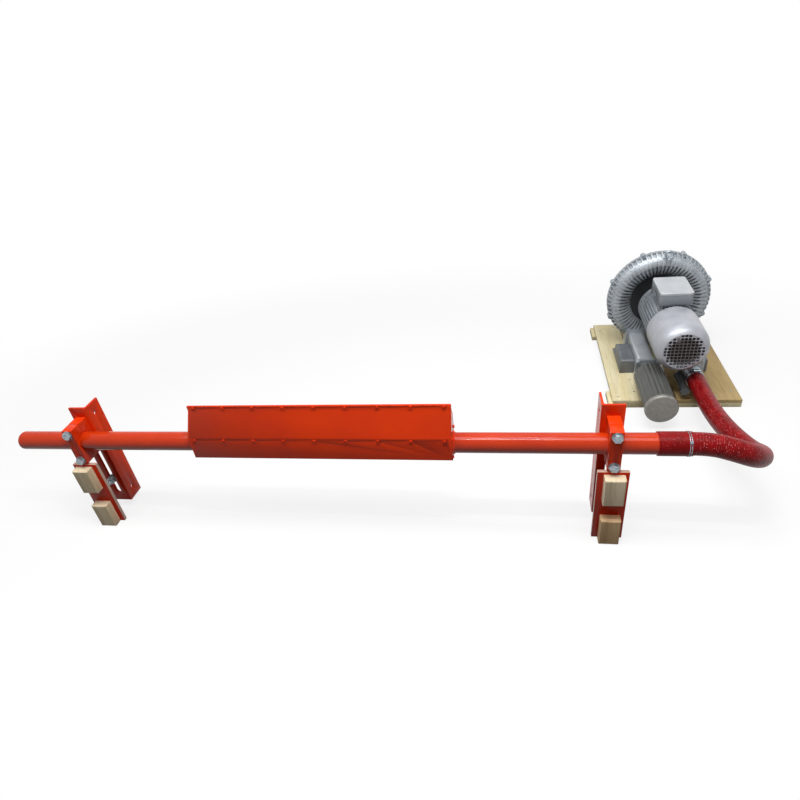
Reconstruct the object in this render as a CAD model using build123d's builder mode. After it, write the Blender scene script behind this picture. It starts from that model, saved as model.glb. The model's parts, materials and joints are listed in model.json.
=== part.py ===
from build123d import *
from math import cos, pi, radians, sin, tan
import os

# Air-knife belt cleaner: a capped air pipe with a folded-sheet nozzle box, held by two
# slotted angle brackets, and fed through a short hose by a side-channel blower on a
# timber base.  Millimetres.  X runs along the pipe, +Y from the pipe to the blower,
# +Z up.  The origin lies on the floor, under the middle of the whole installation.

# ---------------------------------------------------------------- driving dimensions

# air pipe
pipe_od = 76.1
pipe_wall = 3.6
pipe_height = 417.0
left_overhang = 325.0
bracket_spacing = 2010.0
right_overhang = 243.0
fit = 0.1                      # radial clearance of parts that slide over each other
cap_thickness = 24.0
cap_edge = 18.0
cap_spigot = 18.0
outlet_count = 8
outlet_length = 80.0
outlet_width = 24.0

# nozzle box
knife_start = 482.0            # from the left bracket to the box
knife_length = 1016.0
knife_half_width = 50.0
knife_drop = 43.0              # underside below the pipe axis
knee_rise = 57.0               # lower fold above the pipe axis
lip_fold_rise = 139.0
lip_height = 20.0
lip_offset = 11.0              # front face of the lip, behind the pipe axis
sheet = 3.0
nozzle_gap = 2.0
trough_rise = 50.0
end_plate_thickness = 5.0
weld_size = 8.0
screw_count = 9
screw_inset = 25.0
lip_screw_drop = 8.5           # below the lip's top edge
flange_screw_drop = 14.0       # below the lower fold
screw_diameter = 6.0
screw_length = 14.0
screw_head_width = 10.0
screw_head_height = 4.0
screw_clearance = 0.3
spacer_diameter = 16.0
end_screw_reach = 39.0
end_screw_high = 44.0
end_screw_low = 35.0
end_lug_width = 10.0
end_lug_length = 12.0

# brackets
angle_leg = 80.0
angle_thickness = 8.0
angle_root_radius = 6.0
angle_length = 512.0
angle_rise = 128.0             # top of the angle above the pipe axis
angle_setback = 49.0           # pipe axis to the angle's front face
frame_hole_diameter = 14.0
frame_hole_inset = 50.0
frame_hole_setback = 38.0
slot_width = 21.0
slot_length = 250.0
slot_drop = 213.0              # slot centre below the pipe axis
clamp_width = 45.0
clamp_inset = 20.0
clamp_half_height = 83.5
clamp_split = 2.0
bolt_rise = 65.0
bolt_diameter = 20.0
bolt_hole_clearance = 0.5
bolt_head_width = 30.0
bolt_head_height = 12.5
washer_diameter = 37.0
washer_thickness = 3.0
nut_width = 30.0
nut_height = 16.0
thread_proud = 6.0
plate_reach = 48.0             # pipe axis to the clamp plate's front face
plate_thickness = 15.0
plate_width = 109.0
plate_height = 326.0
plate_overlap = 10.0           # reach past the angle's corner
stud_height = 160.0
stud_base_diameter = 40.0
stud_base_height = 6.0
block_thickness = 36.0
block_width = 72.0
block_height = 120.0
block_inset = 12.0
upper_block_drop = 10.0
block_edge = 3.0

# timber base
base_gap = 185.0               # right bracket to the base
base_setback = 798.0           # pipe axis to the base's front edge
base_width = 580.0
base_depth = 796.0
plank_count = 4
plank_gap = 8.0
plank_thickness = 18.0
plank_edge = 1.5
cleat_thickness = 24.0
cleat_width = 110.0
cleat_proud = 18.0
nail_diameter = 4.0
nail_head_diameter = 9.0
nail_head_height = 1.0
nail_length = 36.0
nail_row_pitch = 40.0

# blower
blower_inset = 275.0           # base's left edge to the blower axis
ring_setback = 547.0           # base's front edge to the ring's mid-plane
axis_above_deck = 283.0
channel_radius = 197.0
channel_outer = 49.0
channel_wall = 6.0
rib_height = 8.0
rib_thickness = 7.0
rib_count = 64
rib_depth = 5.0                # ribs start this deep in the housing's wall
inner_ribs = (84.0, 168.0)     # turn about the channel's centre, from the outer edge
outer_ribs = (10.0, 48.0)
crest_band = (44.0, 90.0)
ring_flange_thickness = 9.0
web_gap = 14.0                 # half the space between the two webs
web_thickness = 8.0
hub_radius = 75.0
hub_reach = 105.0              # ring mid-plane to the motor
lug_count = 8
lug_diameter = 26.0
lug_screw_diameter = 8.0
lug_screw_head_width = 12.0
lug_screw_head_height = 5.5
port_reach = 75.0
port_bore = 50.0
port_block_width = 300.0
port_block_drop = 243.0
stripper_angle = 34.0
hub_flange_thickness = 10.0

impeller_hub_radius = 40.0
impeller_hub_half = 12.0
impeller_disc = 6.0            # half thickness
impeller_rim = 18.0
impeller_rim_inner = 162.0
impeller_rim_outer = 232.0
impeller_rim_wall = 5.0
impeller_gap = 2.0
vane_count = 32
vane_thickness = 5.0

frame_length = 255.0
frame_bore = 88.0
frame_wall = 8.0
fin_height = 16.0
fin_thickness = 3.5
fin_count = 40
stator_bore = 55.0
stator_length = 130.0
rotor_length = 126.0
rotor_gap = 0.6
shaft_radius = 19.0
journal_radius = 15.0
impeller_seat_radius = 14.0
fan_seat_radius = 12.0
running_clearance = 0.03
bearing_outer_radius = 31.0
bearing_width = 19.0
shield_thickness = 26.0
shield_radius = 97.0
shield_lug_width = 24.0
cowl_radius = 118.0
cowl_wall = 2.5
cowl_length = 215.0
cowl_shoulder = 52.0
grille_radius = 89.0
grille_pitch = 16.0
grille_hole = 12.6
grille_edge = 3.0
grille_thickness = 2.5
fan_radius = 96.0
fan_plate = 4.0
fan_width = 48.0
fan_blade_count = 9
fan_setback = 60.0
fan_blade_thickness = 4.0
fan_hub_radius = 24.0

terminal_length = 195.0
terminal_width = 150.0
terminal_height = 62.0
terminal_wall = 5.0
terminal_rise = 118.0          # box floor above the shaft axis
terminal_inset = 45.0          # motor flange to the terminal box
terminal_corner = 16.0
wire_hole_length = 60.0
wire_hole_width = 40.0
lid_height = 15.0
cable_hole_diameter = 25.0

silencer_reach = 100.0         # each side of the blower axis
silencer_height = 80.0         # axis above the deck
silencer_width = 76.0
silencer_depth = 70.0
silencer_length = 310.0
silencer_corner = 12.0
silencer_wall = 6.0
pipe_flange_thickness = 14.0
pipe_flange_size = 116.0
flange_bolt_inset = 12.0
flange_bolt_width = 17.0
flange_bolt_height = 9.0
foot_length = 180.0
foot_inset = 40.0
foot_outer = 208.0
foot_box_width = 70.0
foot_box_height = 78.0
foot_plate = 8.0
foot_corner = 12.0
foot_wall = 6.0
rear_tab_length = 70.0
inner_tab_reach = 262.0
inner_tab_width = 30.0
foot_screw_diameter = 10.0
foot_screw_head_width = 17.0
foot_screw_head_height = 7.0

filter_radius = 69.0
filter_wall = 3.0
filter_neck_radius = 34.0
filter_neck_length = 41.0
filter_length = 295.0
filter_rib_count = 24
filter_rib_height = 2.0
filter_rib_width = 8.0
filter_cap_radius = 72.5
filter_cap_height = 20.0
filter_cap_edge = 5.0

eye_ring_radius = 17.0
eye_wire_radius = 5.0
eye_offset = 15.0
eye_reach = 56.0
eye_rise = 231.5
eye_collar_radius = 11.0
eye_collar_height = 5.0
eye_boss_depth = 32.0

valve_radius = 17.0
valve_knob_radius = 20.0
valve_knob_length = 20.0
valve_start = 13.0             # pipe flange to the valve's rear end
valve_length = 148.0
valve_offset = 60.0
valve_drop = 22.0
valve_arm_radius = 14.0

# hose
hose_od = 80.0
hose_wall = 5.0
cuff_od = 85.0
cuff_length = 110.0
cuff_lap = 60.0
cuff_edge = 3.0
nipple_length = 56.0
clamp_band_width = 13.0
clamp_band_thickness = 1.5
clamp_screw_length = 30.0
clamp_screw_radius = 6.5
clamp_reaches = (5.0, 26.0)

# ---------------------------------------------------------------- derived places

overall_length = left_overhang + bracket_spacing + base_gap + base_width
overall_depth = plate_reach + block_thickness + base_setback + base_depth

pipe_radius = pipe_od / 2
pipe_start = -overall_length / 2
left_bracket_x = pipe_start + left_overhang
right_bracket_x = left_bracket_x + bracket_spacing
pipe_end = right_bracket_x + right_overhang
pipe_y = -overall_depth / 2 + plate_reach + block_thickness

knife_x = left_bracket_x + knife_start
knife_mid_x = knife_x + knife_length / 2
sheet_length = knife_length - 2 * end_plate_thickness
screw_pitch = (knife_length - 2 * screw_inset) / (screw_count - 1)
lip_top_rise = lip_fold_rise + lip_height
rear_lip_offset = lip_offset + 2 * sheet + nozzle_gap
front_slope = (lip_fold_rise - knee_rise) / (lip_offset + knife_half_width)
rear_knee_rise = lip_fold_rise - (knife_half_width - rear_lip_offset) * front_slope

deck_height = cleat_thickness + plank_thickness
base_x = right_bracket_x + base_gap
base_front = pipe_y + base_setback
plank_width = (base_width - (plank_count - 1) * plank_gap) / plank_count

blower_x = base_x + blower_inset
blower_y = base_front + ring_setback
blower_z = deck_height + axis_above_deck
blower_axis = Axis((blower_x, blower_y, blower_z), (0, -1, 0))
ring_radius = channel_radius + channel_outer + rib_height
lug_radius = ring_radius - 4
silencer_drop = axis_above_deck - silencer_height
fin_radius = frame_bore + frame_wall + fin_height
frame_end = hub_reach + frame_length
cowl_start = frame_end - 5
cowl_end = frame_end + cowl_length
silencer_end = port_reach + silencer_length
flange_end = silencer_end + pipe_flange_thickness
hose_end = flange_end + nipple_length


# ---------------------------------------------------------------- working planes

def facing_front(x, y, z):
    """Plane seen from the front: local x to the right, local y up."""
    return Plane(origin=(x, y, z), x_dir=(1, 0, 0), z_dir=(0, -1, 0))


def facing_back(x, y, z):
    return Plane(origin=(x, y, z), x_dir=(-1, 0, 0), z_dir=(0, 1, 0))


def facing_right(x, y, z):
    return Plane(origin=(x, y, z), x_dir=(0, 1, 0), z_dir=(1, 0, 0))


def facing_left(x, y, z):
    return Plane(origin=(x, y, z), x_dir=(0, -1, 0), z_dir=(-1, 0, 0))


def blower_plane(reach):
    """Plane across the blower's axis, a distance in front of the ring's mid-plane."""
    return facing_front(blower_x, blower_y - reach, blower_z)



def box_profile(x0, x1, y0, y1, mode=Mode.ADD):
    """Rectangle between two corners, in the sketch that is open."""
    with Locations(((x0 + x1) / 2, (y0 + y1) / 2)):
        Rectangle(x1 - x0, y1 - y0, mode=mode)


# ---------------------------------------------------------------- air pipe

pipe_face = facing_right(pipe_start + cap_thickness, pipe_y, pipe_height)
outlet_pitch = (sheet_length - outlet_length) / outlet_count

with BuildPart() as air_pipe:
    with BuildSketch(pipe_face):
        Circle(pipe_radius)
        Circle(pipe_radius - pipe_wall, mode=Mode.SUBTRACT)
    extrude(amount=pipe_end - pipe_start - cap_thickness)
    with BuildSketch(Plane.XY.offset(pipe_height)):
        with Locations((knife_mid_x, pipe_y)):
            with GridLocations(outlet_pitch, 0, outlet_count, 1):
                SlotOverall(outlet_length, outlet_width)
    extrude(amount=pipe_od, mode=Mode.SUBTRACT)

with BuildPart() as pipe_end_cap:
    with BuildSketch(pipe_face):
        Circle(pipe_radius)
    extrude(amount=-cap_thickness)
    fillet(pipe_end_cap.faces().sort_by(Axis.X)[0].edges(), cap_edge)
    with BuildSketch(pipe_face):
        Circle(pipe_radius - pipe_wall - fit)
    extrude(amount=cap_spigot)

# ---------------------------------------------------------------- nozzle box

sheet_face = facing_right(knife_x + end_plate_thickness, pipe_y, pipe_height)
trough_half = knife_half_width - sheet
knife_bottom = pipe_height - knife_drop
flange_screw_z = pipe_height + knee_rise - flange_screw_drop
lip_screw_z = pipe_height + lip_top_rise - lip_screw_drop
knife_front = facing_front(knife_mid_x, pipe_y - knife_half_width, 0)
lip_front = facing_front(knife_mid_x, pipe_y + lip_offset, 0)
screw_hole_radius = screw_diameter / 2 + screw_clearance


def bent_sheet(plane, knee, lip):
    """Sheet bent from the box's underside up to the lip; it lies inside the drawn line."""
    with BuildSketch(plane) as section:
        with BuildLine():
            Polyline((-knife_half_width, -knife_drop), (-knife_half_width, knee),
                     (lip, lip_fold_rise), (lip, lip_top_rise))
            offset(amount=sheet, side=Side.RIGHT)
        make_face()
    extrude(section.sketch, amount=sheet_length)


def screw_row_holes(plane, height, depth):
    with BuildSketch(plane) as section:
        with Locations((0, height)):
            with GridLocations(screw_pitch, 0, screw_count, 1):
                Circle(screw_hole_radius)
    extrude(section.sketch, amount=-depth, mode=Mode.SUBTRACT)


with BuildPart() as plenum_trough:
    with BuildSketch(sheet_face):
        box_profile(-trough_half, trough_half, -knife_drop, trough_rise)
        box_profile(sheet - trough_half, trough_half - sheet, sheet - knife_drop, trough_rise,
                    mode=Mode.SUBTRACT)
    extrude(amount=sheet_length)
    for start in (0, sheet_length - end_lug_length):
        with BuildSketch(sheet_face.offset(start)):
            for side in (-1, 1):
                for height in (end_screw_high, -end_screw_low):
                    with Locations((side * end_screw_reach, height)):
                        Rectangle(end_lug_width, end_lug_width)
                        Circle(screw_hole_radius, mode=Mode.SUBTRACT)
        extrude(amount=end_lug_length)
    screw_row_holes(knife_front, flange_screw_z, 2 * sheet + 1)

with BuildPart() as front_hood:
    bent_sheet(sheet_face, knee_rise, lip_offset)
    screw_row_holes(knife_front, flange_screw_z, sheet + 1)
    screw_row_holes(lip_front, lip_screw_z, sheet + 1)

with BuildPart() as rear_hood:
    bent_sheet(facing_left(knife_x + knife_length - end_plate_thickness, pipe_y, pipe_height),
               rear_knee_rise, -rear_lip_offset)
    screw_row_holes(lip_front.offset(-sheet - nozzle_gap + 1), lip_screw_z, sheet + 2)

with BuildPart() as nozzle_spacers:
    with BuildSketch(lip_front.offset(-sheet)):
        with Locations((0, lip_screw_z)):
            with GridLocations(screw_pitch, 0, screw_count, 1):
                Circle(spacer_diameter / 2)
                Circle(screw_hole_radius, mode=Mode.SUBTRACT)
    extrude(amount=-nozzle_gap)


def end_plate(plane, outward):
    """End plate in its section plane, with the weld collar round the pipe outside."""
    with BuildSketch(plane) as section:
        with BuildLine():
            Polyline(
                (-knife_half_width, -knife_drop),
                (-knife_half_width, knee_rise),
                (lip_offset, lip_fold_rise),
                (lip_offset, lip_top_rise),
                (rear_lip_offset, lip_top_rise),
                (rear_lip_offset, lip_fold_rise),
                (knife_half_width, rear_knee_rise),
                (knife_half_width, -knife_drop),
                close=True,
            )
        make_face()
    extrude(section.sketch, amount=end_plate_thickness)
    with BuildSketch(plane.offset(end_plate_thickness if outward > 0 else 0)) as section:
        Circle(pipe_radius + weld_size)
    extrude(section.sketch, amount=outward * weld_size, taper=44)
    with BuildSketch(plane.offset(-end_plate_thickness - weld_size)) as section:
        Circle(pipe_radius + fit)
    extrude(section.sketch, amount=3 * (end_plate_thickness + weld_size), mode=Mode.SUBTRACT)
    with BuildSketch(plane) as section:
        for side in (-1, 1):
            for height in (end_screw_high, -end_screw_low):
                with Locations((side * end_screw_reach, height)):
                    Circle(screw_hole_radius)
    extrude(section.sketch, amount=end_plate_thickness, mode=Mode.SUBTRACT)


with BuildPart() as left_end_plate:
    end_plate(sheet_face.offset(-end_plate_thickness), -1)

with BuildPart() as right_end_plate:
    end_plate(sheet_face.offset(sheet_length), 1)


def screw_set(plane, places, radius, length, head_width, head_height):
    """A set of hexagon-head screws: heads stand out of the plane, shanks go in."""
    with BuildSketch(plane) as section:
        with Locations(*places):
            RegularPolygon(head_width / 2, 6, major_radius=False)
    extrude(section.sketch, amount=head_height)
    with BuildSketch(plane) as section:
        with Locations(*places):
            Circle(radius)
    extrude(section.sketch, amount=-length)


def row_places(height):
    first = -screw_pitch * (screw_count - 1) / 2
    return [(first + i * screw_pitch, height) for i in range(screw_count)]


end_screw_places = [
    (side * end_screw_reach, height)
    for side in (-1, 1)
    for height in (end_screw_high, -end_screw_low)
]
m6 = (screw_diameter / 2, screw_length, screw_head_width, screw_head_height)

with BuildPart() as plenum_screws:
    screw_set(knife_front, row_places(flange_screw_z), *m6)
    screw_set(lip_front, row_places(lip_screw_z), *m6)
    screw_set(facing_right(knife_x + knife_length, pipe_y, pipe_height), end_screw_places, *m6)
    screw_set(facing_left(knife_x, pipe_y, pipe_height), end_screw_places, *m6)

# ---------------------------------------------------------------- brackets

bracket_middle = Plane.YZ.offset(left_bracket_x + bracket_spacing / 2)
angle_bottom = pipe_height + angle_rise - angle_length
clamp_mid = clamp_inset + clamp_width / 2
bolt_x = right_bracket_x + clamp_mid
leg_front = facing_front(right_bracket_x, pipe_y + angle_setback, 0)
plate_front = facing_front(right_bracket_x, pipe_y - plate_reach, 0)
bolt_heights = (pipe_height - bolt_rise, pipe_height + bolt_rise)
bolt_hole_radius = bolt_diameter / 2 + bolt_hole_clearance

with BuildPart() as right_angle:
    with BuildSketch(Plane(origin=(right_bracket_x, pipe_y + angle_setback, angle_bottom))):
        with BuildLine():
            Polyline(
                (0, 0),
                (angle_leg, 0),
                (angle_leg, angle_thickness),
                (angle_thickness, angle_thickness),
                (angle_thickness, angle_leg),
                (0, angle_leg),
                close=True,
            )
        make_face()
    extrude(amount=angle_length)
    inner_edge = right_angle.edges().filter_by(Axis.Z).filter_by(
        lambda e: abs(e.center().X - right_bracket_x - angle_thickness) < 0.01
        and abs(e.center().Y - pipe_y - angle_setback - angle_thickness) < 0.01
    )
    fillet(inner_edge, angle_root_radius)
    with BuildSketch(leg_front):
        with Locations((clamp_mid, bolt_heights[0]), (clamp_mid, bolt_heights[1])):
            Circle(bolt_hole_radius)
        with Locations((clamp_mid, pipe_height - slot_drop)):
            SlotOverall(slot_length, slot_width, rotation=90)
    extrude(amount=-angle_thickness, mode=Mode.SUBTRACT)
    with BuildSketch(facing_right(right_bracket_x, pipe_y + angle_setback, angle_bottom)):
        with Locations(
            (frame_hole_setback, frame_hole_inset),
            (frame_hole_setback, angle_length - frame_hole_inset),
        ):
            Circle(frame_hole_diameter / 2)
    extrude(amount=angle_thickness, mode=Mode.SUBTRACT)


def clamp_half(near, far):
    """Half of the split clamp block between two reaches in front of the pipe axis."""
    plane = facing_front(right_bracket_x, pipe_y - near, pipe_height)
    with BuildSketch(plane) as section:
        box_profile(clamp_inset, clamp_inset + clamp_width, -clamp_half_height, clamp_half_height)
    extrude(section.sketch, amount=far - near)
    with BuildSketch(facing_right(right_bracket_x, pipe_y, pipe_height)) as section:
        Circle(pipe_radius + fit)
    extrude(section.sketch, amount=angle_leg, mode=Mode.SUBTRACT)
    with BuildSketch(plane) as section:
        with Locations((clamp_mid, bolt_rise), (clamp_mid, -bolt_rise)):
            Circle(bolt_hole_radius)
    extrude(section.sketch, amount=far - near, mode=Mode.SUBTRACT)


with BuildPart() as right_clamp_front:
    clamp_half(clamp_split / 2, plate_reach)

with BuildPart() as right_clamp_rear:
    clamp_half(-clamp_split / 2, -angle_setback)

with BuildPart() as right_clamp_plate:
    with BuildSketch(plate_front):
        box_profile(-plate_overlap, plate_width - plate_overlap, 0, plate_height)
    extrude(amount=-plate_thickness)


def timber_block(bottom):
    with BuildSketch(plate_front) as section:
        box_profile(block_inset, block_inset + block_width, bottom, bottom + block_height)
    block = extrude(section.sketch, amount=block_thickness)
    chamfer(block.faces().sort_by(Axis.Y)[0].edges(), block_edge)


with BuildPart() as right_upper_block:
    timber_block(plate_height - upper_block_drop - block_height)

with BuildPart() as right_lower_block:
    timber_block(0)

with BuildPart() as left_angle:
    mirror(right_angle.part, about=bracket_middle)

with BuildPart() as left_clamp_front:
    mirror(right_clamp_front.part, about=bracket_middle)

with BuildPart() as left_clamp_rear:
    mirror(right_clamp_rear.part, about=bracket_middle)

with BuildPart() as left_clamp_plate:
    mirror(right_clamp_plate.part, about=bracket_middle)

with BuildPart() as left_upper_block:
    mirror(right_upper_block.part, about=bracket_middle)

with BuildPart() as left_lower_block:
    mirror(right_lower_block.part, about=bracket_middle)

# bolts, washers and nuts of both brackets, seen from the front
hardware_xs = (left_bracket_x - clamp_mid, bolt_x)
bolt_places = [(x, z) for x in hardware_xs for z in bolt_heights]
stud_places = [(x, stud_height) for x in hardware_xs]
clamp_face = facing_front(0, pipe_y - plate_reach, 0)
leg_face = facing_front(0, pipe_y + angle_setback, 0)
leg_back = facing_back(0, pipe_y + angle_setback + angle_thickness, 0)
plate_back = facing_back(0, pipe_y - plate_reach + plate_thickness, 0)
bolt_grip = plate_reach + angle_setback + angle_thickness + 2 * washer_thickness
bolt_length = bolt_grip + nut_height + thread_proud
stud_reach = angle_setback + angle_thickness + washer_thickness + nut_height + thread_proud
stud_length = plate_reach - plate_thickness + stud_reach


def seen_from_behind(places):
    return [(-x, z) for x, z in places]


def washer_set(plane, places):
    with BuildSketch(plane) as section:
        with Locations(*places):
            Circle(washer_diameter / 2)
            Circle(bolt_diameter / 2 + fit, mode=Mode.SUBTRACT)
    extrude(section.sketch, amount=washer_thickness)


def nut_set(plane, places):
    with BuildSketch(plane) as section:
        with Locations(*places):
            RegularPolygon(nut_width / 2, 6, major_radius=False)
            Circle(bolt_diameter / 2 + fit, mode=Mode.SUBTRACT)
    extrude(section.sketch, amount=nut_height)


with BuildPart() as clamp_bolts:
    screw_set(clamp_face.offset(washer_thickness), bolt_places, bolt_diameter / 2,
              bolt_length, bolt_head_width, bolt_head_height)

with BuildPart() as bracket_washers:
    washer_set(clamp_face, bolt_places)
    washer_set(leg_face, stud_places)
    washer_set(leg_back, seen_from_behind(bolt_places + stud_places))

with BuildPart() as bracket_nuts:
    nut_set(leg_face.offset(washer_thickness), stud_places)
    nut_set(leg_back.offset(washer_thickness), seen_from_behind(bolt_places + stud_places))

with BuildPart() as plate_studs:
    with BuildSketch(plate_back):
        with Locations(*seen_from_behind(stud_places)):
            Circle(stud_base_diameter / 2)
    extrude(amount=stud_base_height)
    with BuildSketch(plate_back):
        with Locations(*seen_from_behind(stud_places)):
            Circle(bolt_diameter / 2)
    extrude(amount=stud_length)

# ---------------------------------------------------------------- timber base

plank_pitch = plank_width + plank_gap
nail_columns = [
    base_x + plank_width / 2 + i * plank_pitch + side * nail_row_pitch
    for i in range(plank_count)
    for side in (-1, 1)
]
nail_rows = [
    base_front + 0.3 * cleat_width,
    base_front + 0.7 * cleat_width,
    base_front + base_depth - 0.7 * cleat_width,
    base_front + base_depth - 0.3 * cleat_width,
]
nail_places = [
    (x, nail_rows[row])
    for i, x in enumerate(nail_columns)
    for row in (i % 2, 2 + i % 2)
]
# foot screws: two on each rear tab, one on each inner tab, as (side, across, reach)
foot_screw_spots = ((154, 62), (184, 88), (124, inner_tab_reach))
foot_screw_places = [
    (blower_x + side * across, blower_y - reach)
    for side in (-1, 1)
    for across, reach in foot_screw_spots
]


def deck_holes(places, radius, depth):
    """Holes going down from the deck's top, where they lie over the open part."""
    with BuildSketch(Plane.XY.offset(deck_height)) as section:
        with Locations(*places):
            Circle(radius)
    extrude(section.sketch, amount=-depth, mode=Mode.SUBTRACT)


def near_plank(places, left):
    return [(x, y) for x, y in places if left - 10 < x < left + plank_width + 10]


def plank(left):
    with BuildSketch(Plane.XY.offset(cleat_thickness)) as section:
        box_profile(left, left + plank_width, base_front, base_front + base_depth)
    board = extrude(section.sketch, amount=plank_thickness)
    chamfer(board.edges().filter_by(Axis.Y), plank_edge)
    deck_holes(near_plank(nail_places, left), nail_diameter / 2, plank_thickness)
    screws = near_plank(foot_screw_places, left)
    if screws:
        deck_holes(screws, foot_screw_diameter / 2, plank_thickness)


def cleat(front):
    with BuildSketch(Plane.XY) as section:
        box_profile(base_x - cleat_proud, base_x + base_width, front, front + cleat_width)
    extrude(section.sketch, amount=cleat_thickness)
    with BuildSketch(Plane.XY.offset(cleat_thickness)) as section:
        with Locations(*[p for p in nail_places if front < p[1] < front + cleat_width]):
            Circle(nail_diameter / 2)
    extrude(section.sketch, amount=nail_length - plank_thickness - 2 * cleat_thickness, mode=Mode.SUBTRACT)


with BuildPart() as plank_1:
    plank(base_x)

with BuildPart() as plank_2:
    plank(base_x + plank_pitch)

with BuildPart() as plank_3:
    plank(base_x + 2 * plank_pitch)

with BuildPart() as plank_4:
    plank(base_x + 3 * plank_pitch)

with BuildPart() as front_cleat:
    cleat(base_front)

with BuildPart() as rear_cleat:
    cleat(base_front + base_depth - cleat_width)

with BuildPart() as deck_nails:
    with BuildSketch(Plane.XY.offset(deck_height)):
        with Locations(*nail_places):
            RegularPolygon(nail_head_diameter / 2, 8)
    extrude(amount=nail_head_height)
    with BuildSketch(Plane.XY.offset(deck_height)):
        with Locations(*nail_places):
            Circle(nail_diameter / 2 - fit)
    extrude(amount=-nail_length)

# ---------------------------------------------------------------- blower housings

shell_radius = channel_outer
bore_radius = channel_outer - channel_wall
port_places = ((-silencer_reach, -silencer_drop), (silencer_reach, -silencer_drop))
lug_thickness = 2 * ring_flange_thickness
lug_pitch = 360 / lug_count
lug_screw_length = lug_thickness + 14.0
lug_spotface = 8.0
rib_facets = 4
web_radius = channel_radius - channel_outer + 4.0
envelope_reach = impeller_rim + impeller_gap


def radial_plane(angle):
    """Plane through the blower's axis: local x is the reach, local y the radius."""
    return Plane(
        origin=(blower_x, blower_y, blower_z),
        x_dir=(0, -1, 0),
        z_dir=(-cos(radians(angle)), 0, sin(radians(angle))),
    )


def radial_planes(count, first):
    return [radial_plane(first + i * 360 / count) for i in range(count)]


def around_axis(radius, count, first):
    step = 360 / count
    return [
        (radius * sin(radians(first + i * step)), radius * cos(radians(first + i * step)))
        for i in range(count)
    ]


def half_ring(side):
    """Half of the solid ring, in front of the mid-plane or behind it."""
    with BuildSketch(radial_plane(0)) as section:
        with Locations((0, channel_radius)):
            Circle(shell_radius)
        with Locations((-side * shell_radius, channel_radius)):
            Rectangle(2 * shell_radius, 2 * shell_radius, mode=Mode.SUBTRACT)
    revolve(section.sketch, axis=blower_axis)


def around_channel(side, radius, start, end, steps):
    """Points round the channel's centre, turning from the outer edge to the inner one."""
    turns = [radians(start + i * (end - start) / steps) for i in range(steps + 1)]
    return [(side * radius * sin(t), channel_radius + radius * cos(t)) for t in turns]


def ring_ribs(side, start, end):
    """Radial ribs between two turns round the channel, with flat facets."""
    over = around_channel(side, shell_radius + rib_height, start, end, rib_facets)
    under = around_channel(side, shell_radius - rib_depth, start, end, rib_facets)
    with BuildSketch(*radial_planes(rib_count, first_rib)) as section:
        with BuildLine():
            Polyline(*over, *under[::-1], close=True)
        make_face()
    extrude(section.sketch, amount=rib_thickness / 2, both=True)


def crest(side):
    """Smooth raised band between the outer and the inner ribs."""
    band_radius = shell_radius + rib_height - 1
    start, end = crest_band
    outer = around_channel(side, band_radius, start, end, 2)
    inner = around_channel(side, shell_radius - rib_depth, start, end, 1)
    with BuildSketch(radial_plane(0)) as section:
        with BuildLine():
            ThreePointArc(*outer)
            Polyline(outer[2], inner[1], inner[0], outer[0])
        make_face()
    revolve(section.sketch, axis=blower_axis)


def ring_channel(side):
    """Air channel, blocked at the bottom between the ports, and room for the impeller."""
    with BuildSketch(radial_plane(180 - stripper_angle / 2)) as section:
        with Locations((0, channel_radius)):
            Circle(bore_radius)
    revolve(section.sketch, axis=blower_axis, revolution_arc=360 - stripper_angle, mode=Mode.SUBTRACT)
    with BuildSketch(ring_face) as section:
        Circle(impeller_rim_outer + impeller_gap)
        Circle(impeller_rim_inner - impeller_gap, mode=Mode.SUBTRACT)
    extrude(section.sketch, amount=side * envelope_reach, mode=Mode.SUBTRACT)
    with BuildSketch(ring_face) as section:
        Circle(channel_radius)
    extrude(section.sketch, amount=side * web_gap, mode=Mode.SUBTRACT)


def flange_and_lugs(side):
    with BuildSketch(ring_face) as section:
        Circle(ring_radius)
        Circle(channel_radius, mode=Mode.SUBTRACT)
    extrude(section.sketch, amount=side * ring_flange_thickness)
    with BuildSketch(ring_face) as section:
        with Locations(*around_axis(lug_radius, lug_count, lug_pitch / 2)):
            Circle(lug_diameter / 2)
    extrude(section.sketch, amount=side * lug_thickness)


ring_face = blower_plane(0)
lug_places = around_axis(lug_radius, lug_count, lug_pitch / 2)
first_rib = lug_pitch / 2 + 180 / rib_count
eye_base = Plane(origin=(blower_x + eye_offset, blower_y - eye_reach, blower_z + eye_rise))

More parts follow.
